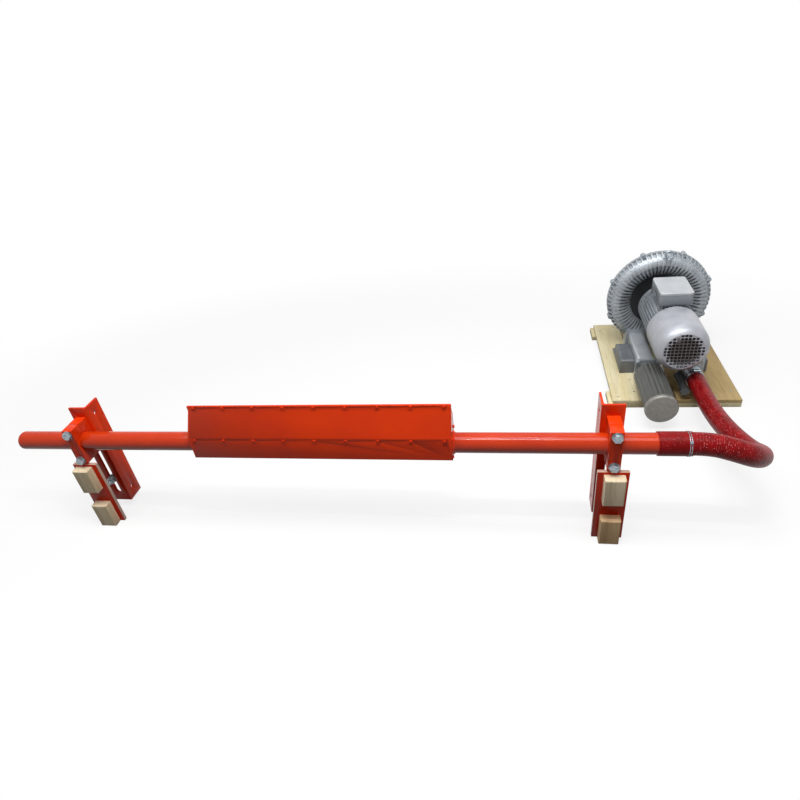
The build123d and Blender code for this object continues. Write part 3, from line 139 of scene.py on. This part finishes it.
def zinc_plate():
    """Bright zinc plate on steel: bluish metal with soft cloudy patches."""
    material, tree = new_material("bright_zinc_plate")
    place = add(tree, "ShaderNodeTexCoord").outputs["Object"]
    clouds = add(tree, "ShaderNodeTexNoise", {"Vector": place, "Scale": per_mm(9), "Detail": 4.0})
    colour = add(tree, "ShaderNodeValToRGB", {"Fac": clouds.outputs["Fac"]},
                 stops=[(0.3, "6F7A82"), (0.7, "B4BEC4")]).outputs["Color"]
    dull = add(tree, "ShaderNodeMapRange", {"Value": clouds.outputs["Fac"], "To Min": 0.25,
                                            "To Max": 0.5})
    shader = add(tree, "ShaderNodeBsdfPrincipled",
                 {"Base Color": colour, "Roughness": dull.outputs["Result"], "Metallic": 0.9})
    add(tree, "ShaderNodeOutputMaterial", {"Surface": shader.outputs["BSDF"]})
    return material


def darken_about_axis(tree, place, colour, radius, depth, dark_tone):
    """A darker tone over a round face or recess about the blower's axis, from one depth to
    another: painted shade in the ring's recess, and a darker grille on the cowl.
    """
    centred = add(tree, "ShaderNodeMapping", {"Vector": place, "Location": -BLOWER})
    parts = add(tree, "ShaderNodeSeparateXYZ", {"Vector": centred.outputs["Vector"]})
    flat = add(tree, "ShaderNodeCombineXYZ", {"X": parts.outputs["X"], "Z": parts.outputs["Z"]})
    reach = add(tree, "ShaderNodeVectorMath", {0: flat.outputs["Vector"]}, operation="LENGTH")
    inside = add(tree, "ShaderNodeMapRange",
                 {"Value": reach.outputs["Value"], "From Min": radius[0], "From Max": radius[1],
                  "To Min": 1.0, "To Max": 0.0})
    deep = add(tree, "ShaderNodeMapRange", {"Value": parts.outputs["Y"], "From Min": depth[0],
                                            "From Max": depth[1]})
    both = add(tree, "ShaderNodeMath", {0: inside.outputs["Result"], 1: deep.outputs["Result"]},
               operation="MULTIPLY")
    mix = add(tree, "ShaderNodeMix", {"Factor": both.outputs["Value"], 6: colour, 7: srgb(dark_tone)},
              data_type="RGBA")
    return mix.outputs[2]


def sprayed_casting(name, dark, light, roughness, grain_mm, metallic, darkening=None):
    """Aluminium sprayed silver: metallic paint over a surface of the given grain."""
    material, tree = new_material(name)
    place = add(tree, "ShaderNodeTexCoord").outputs["Object"]
    patches = add(tree, "ShaderNodeTexNoise", {"Vector": place, "Scale": per_mm(60),
                                               "Detail": 5.0})
    colour = add(tree, "ShaderNodeValToRGB", {"Fac": patches.outputs["Fac"]},
                 stops=[(0.3, dark), (0.7, light)]).outputs["Color"]
    # darkens a round face or recess about the blower's axis; in the ring's recess this is painted
    # shade
    if darkening:
        colour = darken_about_axis(tree, place, colour, *darkening)
    grain = add(tree, "ShaderNodeTexNoise", {"Vector": place, "Scale": per_mm(grain_mm),
                                             "Detail": 3.0})
    bump = add(tree, "ShaderNodeBump", {"Height": grain.outputs["Fac"], "Strength": 0.3,
                                        "Distance": 0.3 * MM})
    dull = add(tree, "ShaderNodeMapRange",
               {"Value": patches.outputs["Fac"], "To Min": roughness - 0.08,
                "To Max": roughness + 0.08})
    shader = add(tree, "ShaderNodeBsdfPrincipled",
                 {"Base Color": colour, "Roughness": dull.outputs["Result"], "Metallic": metallic,
                  "Normal": bump.outputs["Normal"]})
    add(tree, "ShaderNodeOutputMaterial", {"Surface": shader.outputs["BSDF"]})
    return material


# the axis that a piece of timber's grain follows
FRONT_TO_BACK = 1
UPRIGHT = 2


def sawn_wood(name, dark, light, along, ring_mm, rough, knot):
    """Sawn timber: growth rings stretched along the board, pores, and a few dark knots."""
    material, tree = new_material(name)
    place = add(tree, "ShaderNodeTexCoord").outputs["Object"]
    stretch = [1.0, 1.0, 1.0]
    stretch[along] = 0.06
    grain_place = add(tree, "ShaderNodeMapping", {"Vector": place, "Scale": stretch})
    rings = add(tree, "ShaderNodeTexNoise",
                {"Vector": grain_place.outputs["Vector"], "Scale": per_mm(ring_mm),
                 "Detail": 5.0, "Roughness": 0.6, "Distortion": 0.8})
    wide = add(tree, "ShaderNodeTexNoise",
               {"Vector": grain_place.outputs["Vector"], "Scale": per_mm(ring_mm * 7),
                "Detail": 2.0})
    mixed = add(tree, "ShaderNodeMath", {0: rings.outputs["Fac"], 1: wide.outputs["Fac"]},
                operation="ADD")
    halves = add(tree, "ShaderNodeMath", {0: mixed.outputs["Value"], 1: 0.5}, operation="MULTIPLY")
    boards = add(tree, "ShaderNodeValToRGB", {"Fac": halves.outputs["Value"]},
                 stops=[(0.38, dark), (0.6, light)]).outputs["Color"]
    stretch[along] = 0.45
    knot_place = add(tree, "ShaderNodeMapping", {"Vector": place, "Scale": stretch})
    cells = add(tree, "ShaderNodeTexVoronoi", {"Vector": knot_place.outputs["Vector"],
                                               "Scale": per_mm(110)})
    dots = add(tree, "ShaderNodeMapRange", {"Value": cells.outputs["Distance"], "From Min": 0.05,
                                            "From Max": 0.11, "To Min": 1.0, "To Max": 0.0})
    colour = add(tree, "ShaderNodeMix", {"Factor": dots.outputs["Result"], 6: boards,
                                         7: srgb(knot)}, data_type="RGBA")
    bump = add(tree, "ShaderNodeBump", {"Height": rings.outputs["Fac"], "Strength": 0.4,
                                        "Distance": 0.6 * MM})
    shader = add(tree, "ShaderNodeBsdfPrincipled",
                 {"Base Color": colour.outputs[2], "Roughness": rough, "Specular IOR Level": 0.3,
                  "Normal": bump.outputs["Normal"]})
    add(tree, "ShaderNodeOutputMaterial", {"Surface": shader.outputs["BSDF"]})
    return material


def plain_finish(name, code, roughness, metallic=0.0, grain_mm=3.0):
    """Even finish with a slight grain, for small and half-hidden pieces."""
    material, tree = new_material(name)
    place = add(tree, "ShaderNodeTexCoord").outputs["Object"]
    grain = add(tree, "ShaderNodeTexNoise", {"Vector": place, "Scale": per_mm(grain_mm)})
    bump = add(tree, "ShaderNodeBump", {"Height": grain.outputs["Fac"], "Strength": 0.15,
                                        "Distance": 0.2 * MM})
    shader = add(tree, "ShaderNodeBsdfPrincipled",
                 {"Base Color": srgb(code), "Roughness": roughness, "Metallic": metallic,
                  "Normal": bump.outputs["Normal"]})
    add(tree, "ShaderNodeOutputMaterial", {"Surface": shader.outputs["BSDF"]})
    return material


def filter_enamel(name, dark, light, metallic):
    """Grey enamel on a pressed filter case: half gloss with rubbed, dusty streaks."""
    material, tree = new_material(name)
    place = add(tree, "ShaderNodeTexCoord").outputs["Object"]
    streak = add(tree, "ShaderNodeMapping", {"Vector": place, "Scale": (1.0, 0.15, 1.0)})
    dust = add(tree, "ShaderNodeTexNoise", {"Vector": streak.outputs["Vector"],
                                            "Scale": per_mm(14), "Detail": 4.0})
    colour = add(tree, "ShaderNodeValToRGB", {"Fac": dust.outputs["Fac"]},
                 stops=[(0.35, dark), (0.7, light)]).outputs["Color"]
    dull = add(tree, "ShaderNodeMapRange", {"Value": dust.outputs["Fac"], "To Min": 0.25,
                                            "To Max": 0.5})
    shader = add(tree, "ShaderNodeBsdfPrincipled",
                 {"Base Color": colour, "Roughness": dull.outputs["Result"], "Metallic": metallic})
    add(tree, "ShaderNodeOutputMaterial", {"Surface": shader.outputs["BSDF"]})
    return material


HOSE_RADIUS = 0.040
HOSE_TURN_MM = 9.0


def cuff_rubber():
    """Smooth red rubber cuff: matt, deep red, with a little pale dust in its grain."""
    material, tree = new_material("smooth_red_cuff_rubber")
    place = add(tree, "ShaderNodeTexCoord").outputs["Object"]
    patches = add(tree, "ShaderNodeTexNoise", {"Vector": place, "Scale": per_mm(35),
                                               "Detail": 4.0})
    base = add(tree, "ShaderNodeValToRGB", {"Fac": patches.outputs["Fac"]},
               stops=[(0.35, "76080B"), (0.7, "8E0D11")]).outputs["Color"]
    spots = add(tree, "ShaderNodeTexVoronoi", {"Vector": place, "Scale": per_mm(7)})
    dust = add(tree, "ShaderNodeMapRange", {"Value": spots.outputs["Distance"], "From Min": 0.08,
                                            "From Max": 0.2, "To Min": 0.7, "To Max": 0.0})
    colour = add(tree, "ShaderNodeMix", {"Factor": dust.outputs["Result"], 6: base,
                                         7: srgb("C87A78")}, data_type="RGBA")
    bump = add(tree, "ShaderNodeBump", {"Height": patches.outputs["Fac"], "Strength": 0.2,
                                        "Distance": 0.4 * MM})
    shader = add(tree, "ShaderNodeBsdfPrincipled",
                 {"Base Color": colour.outputs[2], "Roughness": 0.4, "Specular IOR Level": 0.12,
                  "Normal": bump.outputs["Normal"]})
    add(tree, "ShaderNodeOutputMaterial", {"Surface": shader.outputs["BSDF"]})
    return material


def hose_rubber(length):
    """Red rubber hose with a wire helix: low spiral ridges, with pale specks on their crests that
    are painted glints.
    """
    material, tree = new_material("wire_reinforced_red_hose")
    unrolled = add(tree, "ShaderNodeTexCoord").outputs["UV"]
    # one unit along is a metre of hose, one unit across is a metre round it
    metres = add(tree, "ShaderNodeMapping",
                 {"Vector": unrolled, "Scale": (length, 2 * math.pi * HOSE_RADIUS, 1.0)})
    place = add(tree, "ShaderNodeTexCoord").outputs["Object"]
    turns = add(tree, "ShaderNodeMapping",
                {"Vector": unrolled, "Scale": (length / (HOSE_TURN_MM * MM), 1.0, 1.0)})
    along = add(tree, "ShaderNodeSeparateXYZ", {"Vector": turns.outputs["Vector"]})
    phase = add(tree, "ShaderNodeMath", {0: along.outputs["X"], 1: along.outputs["Y"]},
                operation="ADD")
    angle = add(tree, "ShaderNodeMath", {0: phase.outputs["Value"], 1: 2 * math.pi},
                operation="MULTIPLY")
    ridge = add(tree, "ShaderNodeMath", {0: angle.outputs["Value"]}, operation="SINE")
    # pale specks on the helix's ridges: painted glints
    spots = add(tree, "ShaderNodeTexVoronoi", {"Vector": place, "Scale": per_mm(6)})
    glint_spots = add(tree, "ShaderNodeMapRange", {"Value": spots.outputs["Distance"], "From Min": 0.18,
                                            "From Max": 0.34, "To Min": 1.0, "To Max": 0.0})
    raised = add(tree, "ShaderNodeMapRange", {"Value": ridge.outputs["Value"], "From Min": 0.1,
                                              "From Max": 0.9})
    painted_glints = add(tree, "ShaderNodeMath", {0: glint_spots.outputs["Result"], 1: raised.outputs["Result"]},
                 operation="MULTIPLY")
    patches = add(tree, "ShaderNodeTexNoise", {"Vector": metres.outputs["Vector"],
                                               "Scale": per_mm(40), "Detail": 3.0})
    base = add(tree, "ShaderNodeValToRGB", {"Fac": patches.outputs["Fac"]},
               stops=[(0.35, "74070A"), (0.7, "960E12")]).outputs["Color"]
    colour = add(tree, "ShaderNodeMix", {"Factor": painted_glints.outputs["Value"], 6: base,
                                         7: srgb("E58A8A")}, data_type="RGBA")
    bump = add(tree, "ShaderNodeBump", {"Height": ridge.outputs["Value"], "Strength": 0.5,
                                        "Distance": 0.5 * MM})
    shader = add(tree, "ShaderNodeBsdfPrincipled",
                 {"Base Color": colour.outputs[2], "Roughness": 0.38, "Specular IOR Level": 0.12,
                  "Normal": bump.outputs["Normal"]})
    add(tree, "ShaderNodeOutputMaterial", {"Surface": shader.outputs["BSDF"]})
    return material


HOSE_LENGTH = 1.17
FINISHES = {
    "red_enamel": enamel_red("sprayed_red_enamel", "DE370C", "E83F0F", 0.12, 0.21),
    "zinc_steel": zinc_plate(),
    "block_timber": sawn_wood("weathered_sawn_block", "D2BE98", "EEDDBF", UPRIGHT, 5.0, 0.75,
                              "8A7350"),
    "pine": sawn_wood("planed_pine_board", "D2C293", "E6DCB8", FRONT_TO_BACK, 6.0, 0.6,
                      "9C875A"),
    "cast_aluminium": sprayed_casting("silver_sprayed_casting", "969CA2", "B2B8BD", 0.42, 2.5,
                                      0.45),
    "silver_paint": sprayed_casting("silver_painted_sheet", "B4B8BC", "C4C8CC", 0.34, 1.2, 0.1),
    "motor_steel": plain_finish("ground_motor_steel", "8A8C8F", 0.4, 0.9),
    "black_plastic": plain_finish("moulded_black_nylon", "17181A", 0.55),
    "dark_brass": plain_finish("blackened_valve_brass", "4A4B4C", 0.4, 0.5),
    "filter_grey": filter_enamel("grey_filter_enamel", "464743", "565753", 0.0),
    "filter_lid": filter_enamel("grey_filter_lid_enamel", "85837D", "95938D", 0.3),
    "hose_red": hose_rubber(HOSE_LENGTH),
}
for name, thing in NODES.items():
    thing.data.materials.clear()
    thing.data.materials.append(FINISHES[SLOT_OF[name]])

COWL_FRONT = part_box("fan_cowl")[0][1] - BLOWER.y
# pieces whose finish differs from that of the others in their slot
OWN_FINISHES = (
    (cuff_rubber(), ("hose_cuff",)),
    # the pipe's enamel is glossier and a shade deeper than the rest
    (enamel_red("glossy_red_pipe_enamel", "BC2F0A", "C8380D", 0.24, 0.12),
     ("air_pipe", "pipe_end_cap")),
    # the clamp plates' enamel is a deeper red, painted shade on their upright faces; their pale
    # edges are partly a painted highlight
    (enamel_red("red_enamel_with_pale_edges", "C42A0A", "D0320C", 0.12, 0.21, pale_and_highlit_edges=True),
     ("left_clamp_plate", "right_clamp_plate")),
    # the two right-hand boards are from a darker plank, and one block from browner timber
    (sawn_wood("darker_pine_board", "A98E60", "BEA676", FRONT_TO_BACK, 6.0, 0.6, "86693C"),
     ("plank_3", "plank_4")),
    (sawn_wood("browner_sawn_block", "B8966C", "CFB088", UPRIGHT, 5.0, 0.75, "7A5E3C"),
     ("right_lower_block",)),
    # painted shade in the ring's recess, and a darker grey over the cowl's grille
    (sprayed_casting("silver_ring_casting_with_painted_recess_shade", "969CA2", "B2B8BD", 0.42, 2.5, 0.45,
                     darkening=((0.150, 0.178), (-0.075, -0.035), "303436")),
     ("front_housing",)),
    (sprayed_casting("silver_painted_cowl", "A6A9B0", "BCBFC6", 0.34, 1.2, 0.2,
                     darkening=((0.064, 0.068), (COWL_FRONT + 0.012, COWL_FRONT + 0.002),
                            "6A6866")),
     ("fan_cowl",)),
    # the terminal box is a duller grey than its lid: painted shade for its upright faces
    (sprayed_casting("grey_box_paint_with_painted_shade", "7C8288", "8E949A", 0.4, 1.2, 0.1),
     ("terminal_box",)),
    # the silencers are a lighter silver: painted light, offsetting the motor's shadow on them
    (sprayed_casting("lighter_silencer_casting_painted_light", "B2B7BD", "C8CDD2", 0.42, 2.5, 0.35),
     ("inlet_silencer", "outlet_silencer")),
    (sprayed_casting("dull_silver_foot_casting", "606468", "787C80", 0.5, 2.5, 0.2),
     ("left_foot", "right_foot")),
)
for finish, names in OWN_FINISHES:
    for name in names:
        NODES[name].data.materials[0] = finish

# ------------------------------------------------------------------ hose

# the hose's route, as the part's source gives it, in metres from the right bracket's foot
RIGHT_BRACKET = Vector((0.785, -0.755, 0.0))
HOSE_ROUTE = (
    (0.293, 0.0, 0.417),
    (0.355, 0.0, 0.417),
    (0.428, -0.008, 0.398),
    (0.484, -0.001, 0.371),
    (0.541, 0.055, 0.316),
    (0.581, 0.131, 0.261),
    (0.584, 0.206, 0.216),
    (0.567, 0.299, 0.196),
    (0.555, 0.416, 0.172),
    (0.553, 0.567, 0.144),
    (0.560, 0.745, 0.122),
    (0.560, 0.890, 0.122),
)


def hose_mesh(radius):
    """Mesh of the hose's route as one smooth line, or as a round tube along it."""
    curve = bpy.data.curves.new("hose_line", "CURVE")
    curve.dimensions = "3D"
    spline = curve.splines.new("NURBS")
    spline.points.add(len(HOSE_ROUTE) - 1)
    for point, place in zip(spline.points, HOSE_ROUTE):
        point.co = (*(RIGHT_BRACKET + Vector(place)), 1.0)
    spline.order_u = 3
    spline.use_endpoint_u = True
    spline.resolution_u = 20
    curve.bevel_depth = radius
    curve.bevel_resolution = 12
    holder = bpy.data.objects.new("hose_line", curve)
    mesh = bpy.data.meshes.new_from_object(holder)
    bpy.data.objects.remove(holder)
    bpy.data.curves.remove(curve)
    return mesh


def hose():
    line = hose_mesh(0.0)
    bpy.data.meshes.remove(line)
    mesh = hose_mesh(HOSE_RADIUS)
    mesh.name = "air_hose_skin"
    mesh.materials.clear()
    mesh.materials.append(FINISHES["hose_red"])
    mesh.shade_smooth()
    piece = bpy.data.objects.new("air_hose_skin", mesh)
    bpy.context.scene.collection.objects.link(piece)
    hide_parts("air_hose")
    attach(piece, "assembly")


hose()

# ------------------------------------------------------------------ eased edges


# faces that differ by less than this are one flat face, and edges sharper than this are rounded
FLAT_ANGLE = math.radians(0.4)
SHARP_ANGLE = math.radians(38)


def eased(node, width_mm):
    """Stands in for a piece with its edges rounded, as folding, sawing or casting leaves them."""
    mesh = NODES[node].data.copy()
    mesh.name = node + "_eased"
    shape = bmesh.new()
    shape.from_mesh(mesh)
    bmesh.ops.remove_doubles(shape, verts=shape.verts, dist=MERGE_DISTANCE)
    bmesh.ops.dissolve_limit(shape, angle_limit=FLAT_ANGLE, verts=shape.verts,
                             edges=shape.edges)
    for face in shape.faces:
        face.smooth = True
    shape.to_mesh(mesh)
    shape.free()
    piece = bpy.data.objects.new(mesh.name, mesh)
    bpy.context.scene.collection.objects.link(piece)
    rounding = piece.modifiers.new("eased_edges", "BEVEL")
    rounding.width = width_mm * MM
    rounding.segments = 2
    rounding.limit_method = "ANGLE"
    rounding.angle_limit = SHARP_ANGLE
    rounding.harden_normals = True
    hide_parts(node)
    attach(piece, "assembly")


# width of the rounding in millimetres, and the pieces that have it
EASED = (
    (1.6, ("left_angle", "right_angle", "left_clamp_plate", "right_clamp_plate",
           "left_clamp_front", "right_clamp_front", "left_clamp_rear", "right_clamp_rear")),
    (0.9, ("front_hood", "rear_hood", "left_end_plate", "right_end_plate")),
    (1.5, ("left_upper_block", "left_lower_block", "right_upper_block", "right_lower_block",
           "front_cleat", "rear_cleat")),
    (1.0, ("plank_1", "plank_2", "plank_3", "plank_4")),
    (2.0, ("left_foot", "right_foot", "inlet_silencer", "outlet_silencer", "terminal_box")),
    (1.5, ("clamp_bolts", "bracket_nuts", "filter_flange", "outlet_nipple")),
    (2.5, ("filter_cap", "terminal_lid")),
)
for width, nodes in EASED:
    for node in nodes:
        eased(node, width)

# ------------------------------------------------------------------ blower and hose details

# the air channel's middle runs at this radius; its ribs are spaced evenly round the ring
CHANNEL_RADIUS = 0.197
RIB_COUNT = 64
RIB_FOOT = 0.050
RIB_THICKNESS = 0.0085


def placed(shape, name, node_slot, smooth=False):
    """Makes a piece of a finished bmesh, with its finish, and lets it ride on the assembly."""
    bmesh.ops.remove_doubles(shape, verts=shape.verts, dist=MERGE_DISTANCE)
    bmesh.ops.recalc_face_normals(shape, faces=shape.faces)
    mesh = bpy.data.meshes.new(name)
    for face in shape.faces:
        face.smooth = smooth
    shape.to_mesh(mesh)
    shape.free()
    mesh.materials.append(FINISHES[node_slot])
    piece = bpy.data.objects.new(name, mesh)
    bpy.context.scene.collection.objects.link(piece)
    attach(piece, "assembly")
    return piece


def channel_ribs(name, start, end, crest):
    """Radial ribs over the front of the ring, each a curved plate round the air channel.

    Each rib reaches from its foot to its crest, and from one angle round the channel to another.
    """
    shape = bmesh.new()
    turn = math.radians(start)
    ends = [shape.verts.new((-RIB_THICKNESS / 2, -reach * math.sin(turn),
                             CHANNEL_RADIUS + reach * math.cos(turn)))
            for reach in (RIB_FOOT, crest)]
    edge = shape.edges.new(ends)
    bmesh.ops.spin(shape, geom=[*ends, edge], cent=(0, 0, CHANNEL_RADIUS), axis=(1, 0, 0),
                   angle=math.radians(end - start), steps=9)
    plate = bmesh.ops.extrude_face_region(shape, geom=shape.faces[:])
    moved = [v for v in plate["geom"] if isinstance(v, bmesh.types.BMVert)]
    bmesh.ops.translate(shape, verts=moved, vec=(RIB_THICKNESS, 0, 0))
    half = math.pi / RIB_COUNT
    bmesh.ops.rotate(shape, verts=shape.verts, cent=(0, 0, 0),
                     matrix=Matrix.Rotation(half, 3, "Y"))
    bmesh.ops.spin(shape, geom=shape.verts[:] + shape.edges[:] + shape.faces[:], cent=(0, 0, 0),
                   axis=(0, 1, 0), angle=2 * math.pi - 2 * half, steps=RIB_COUNT - 1,
                   use_duplicate=True)
    bmesh.ops.translate(shape, verts=shape.verts, vec=BLOWER)
    placed(shape, name, "cast_aluminium")


channel_ribs("inner_ribs", 62.0, 168.0, 0.0625)
channel_ribs("outer_ribs", 9.0, 50.0, 0.0590)


def ring_of_wire(shape, centre, axis, side, reach, wire, turns):
    """A round wire ring about an axis; side is the direction from its centre to its wire."""
    made = bmesh.ops.create_circle(shape, segments=12, radius=wire)
    stand = Matrix((Vector(side), Vector(axis), Vector(side).cross(Vector(axis)))).transposed()
    bmesh.ops.transform(shape, verts=made["verts"],
                        matrix=Matrix.Translation(Vector(centre) + Vector(side) * reach)
                        @ stand.to_4x4())
    edges = list({edge for vert in made["verts"] for edge in vert.link_edges})
    bmesh.ops.spin(shape, geom=[*made["verts"], *edges], cent=centre, axis=axis,
                   angle=2 * math.pi, steps=turns, use_merge=True)


def lifting_eye():
    """Forged eye bolt on its boss at the front of the ring."""
    shape = bmesh.new()
    foot = BLOWER + Vector((0.015, -0.056, 0.2315))
    ring_of_wire(shape, foot + Vector((0, 0, 0.0235)), (0, 1, 0), (0, 0, 1), 0.0185, 0.005, 36)
    bmesh.ops.create_cone(shape, cap_ends=True, segments=20, radius1=0.011, radius2=0.0095,
                          depth=0.004, matrix=Matrix.Translation(foot + Vector((0, 0, 0.002))))
    piece = placed(shape, "lifting_eye_forging", "zinc_steel", smooth=True)
    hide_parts("lifting_eye")


def cuff_clamp():
    """Wire clamp with its screw, over the end of the hose's cuff."""
    shape = bmesh.new()
    centre = Vector((1.066, -0.755, 0.417))
    for shift in (-0.003, 0.003):
        ring_of_wire(shape, centre + Vector((shift, 0, 0)), (1, 0, 0), (0, 0, 1), 0.0434,
                     0.0010, 64)
    lug = bmesh.ops.create_cube(shape, size=1.0)["verts"]
    bmesh.ops.transform(shape, verts=lug,
                        matrix=Matrix.Translation(centre + Vector((0, -0.0315, 0.0315)))
                        @ Matrix.Rotation(math.radians(45), 4, "X")
                        @ Matrix.Diagonal((0.010, 0.009, 0.004, 1.0)))
    placed(shape, "cuff_wire_clamp", "zinc_steel")


def fluted_filter():
    """Pressed filter case: shallow flutes along a round can, between its rear disc and its lid."""
    shape = bmesh.new()
    flutes, depth, radius, length = 20, 0.0045, 0.0685, 0.290
    bmesh.ops.create_cone(shape, cap_ends=True, segments=10 * flutes, radius1=radius,
                          radius2=radius, depth=length)
    for vert in shape.verts:
        wave = 0.5 - 0.5 * math.cos(flutes * math.atan2(vert.co.y, vert.co.x))
        keep = 1.0 - depth / radius * wave ** 2
        vert.co.x *= keep
        vert.co.y *= keep
    middle = BLOWER + Vector((-0.100, -0.440 - length / 2 - 0.001, -0.203))
    bmesh.ops.transform(shape, verts=shape.verts, matrix=Matrix.Translation(middle)
                        @ Matrix.Rotation(math.radians(90), 4, "X"))
    piece = placed(shape, "fluted_filter_case", "filter_grey", smooth=True)
    piece.data.set_sharp_from_angle(angle=math.radians(50))
    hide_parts("filter_body")


lifting_eye()
cuff_clamp()
fluted_filter()

# ------------------------------------------------------------------ floor, light, camera


def in_view(tree):
    """One for the camera's own rays and for what shines or shows through; zero for soft light."""
    rays = add(tree, "ShaderNodeLightPath")
    shine = add(tree, "ShaderNodeMath", {0: rays.outputs["Is Camera Ray"],
                                         1: rays.outputs["Is Glossy Ray"]}, operation="MAXIMUM")
    seen = add(tree, "ShaderNodeMath", {0: shine.outputs["Value"],
                                        1: rays.outputs["Is Transmission Ray"]},
               operation="MAXIMUM")
    return seen.outputs["Value"]


def white_floor():
    """Pale floor: it keeps the shadows near the object, and is plain white further out."""
    material, tree = new_material("pale_studio_floor")
    place = add(tree, "ShaderNodeTexCoord").outputs["Object"]
    oval = add(tree, "ShaderNodeMapping", {"Vector": place, "Scale": (0.6, 1.0, 1.0)})
    reach = add(tree, "ShaderNodeVectorMath", {0: oval.outputs["Vector"]}, operation="LENGTH")
    fade = add(tree, "ShaderNodeMapRange",
               {"Value": reach.outputs["Value"], "From Min": 0.9, "From Max": 2.2},
               interpolation_type="SMOOTHSTEP")
    seen = in_view(tree)
    colour = add(tree, "ShaderNodeMix", {"Factor": seen, 6: srgb("5C5A58"), 7: srgb("FAFAFA")},
                 data_type="RGBA")
    matt = add(tree, "ShaderNodeBsdfDiffuse", {"Color": colour.outputs[2]})
    white = add(tree, "ShaderNodeEmission", {"Color": srgb("FFFFFF"), "Strength": seen})
    lifted = add(tree, "ShaderNodeMapRange", {"Value": fade.outputs["Result"], "To Min": 0.78,
                                              "To Max": 1.0})
    share = add(tree, "ShaderNodeMath", {0: lifted.outputs["Result"], 1: seen},
                operation="MULTIPLY")
    mix = add(tree, "ShaderNodeMixShader",
              {"Fac": share.outputs["Value"], 1: matt.outputs["BSDF"],
               2: white.outputs["Emission"]})
    add(tree, "ShaderNodeOutputMaterial", {"Surface": mix.outputs["Shader"]})
    return material


def floor():
    mesh = bpy.data.meshes.new("studio_floor")
    shape = bmesh.new()
    bmesh.ops.create_grid(shape, x_segments=1, y_segments=1, size=30.0)
    shape.to_mesh(mesh)
    shape.free()
    piece = bpy.data.objects.new("studio_floor", mesh)
    bpy.context.scene.collection.objects.link(piece)
    mesh.materials.append(white_floor())


WORLD_LIGHT = 0.09


def white_world():
    """World that lights softly and shows plain white to the camera and in reflections."""
    world = bpy.data.worlds.new("studio_world")
    bpy.context.scene.world = world
    world.use_nodes = True
    tree = world.node_tree
    tree.nodes.clear()
    strength = add(tree, "ShaderNodeMapRange", {"Value": in_view(tree), "To Min": WORLD_LIGHT,
                                                "To Max": 1.0})
    light = add(tree, "ShaderNodeBackground", {"Color": srgb("FFFFFF"),
                                               "Strength": strength.outputs["Result"]})
    add(tree, "ShaderNodeOutputWorld", {"Surface": light.outputs["Background"]})


def softbox(name, place, target, width, height, power):
    """Rectangular lamp that faces its target, its power in watts."""
    lamp = bpy.data.lights.new(name, "AREA")
    lamp.shape = "RECTANGLE"
    lamp.size = width
    lamp.size_y = height
    lamp.energy = power
    piece = bpy.data.objects.new(name, lamp)
    bpy.context.scene.collection.objects.link(piece)
    piece.location = place
    piece.rotation_euler = (Vector(target) - Vector(place)).to_track_quat("-Z", "Y").to_euler()


# camera: place, heading to the left of +Y, tilt down, and roll
CAMERA_PLACE = Vector((0.4807, -2.3935, 1.7362))
CAMERA_HEADING = 13.174
CAMERA_TILT = 33.867
CAMERA_ROLL = -7.919
CAMERA_LENS = 25.955


def camera():
    heading, tilt, roll = (math.radians(a) for a in (CAMERA_HEADING, CAMERA_TILT, CAMERA_ROLL))
    ahead = Vector((-math.sin(heading) * math.cos(tilt), math.cos(heading) * math.cos(tilt),
                    -math.sin(tilt)))
    right = Vector((math.cos(heading), math.sin(heading), 0.0))
    up = right.cross(ahead)
    side = right * math.cos(roll) + up * math.sin(roll)
    top = up * math.cos(roll) - right * math.sin(roll)
    data = bpy.data.cameras.new("camera")
    data.lens = CAMERA_LENS
    data.sensor_width = 36.0
    data.clip_start = 0.05
    piece = bpy.data.objects.new("camera", data)
    bpy.context.scene.collection.objects.link(piece)
    turn = Matrix((side, top, -ahead)).transposed().to_4x4()
    piece.matrix_world = Matrix.Translation(CAMERA_PLACE) @ turn
    bpy.context.scene.camera = piece


floor()
white_world()
softbox("ceiling_light", (-0.1, -1.15, 3.6), (-0.1, -0.6, 0.3), 5.2, 1.6, 150.0)
softbox("back_light", (1.0, 1.3, 3.2), (1.2, 0.6, 0.4), 1.8, 1.4, 14.0)
softbox("near_tube", (0.48, -1.35, 3.0), (0.48, -0.75, 0.4), 0.7, 0.04, 18.0)
softbox("far_tube", (0.55, -0.50, 3.0), (0.55, -0.75, 0.4), 0.6, 0.03, 6.0)
camera()
bpy.context.scene.view_settings.view_transform = "Standard"
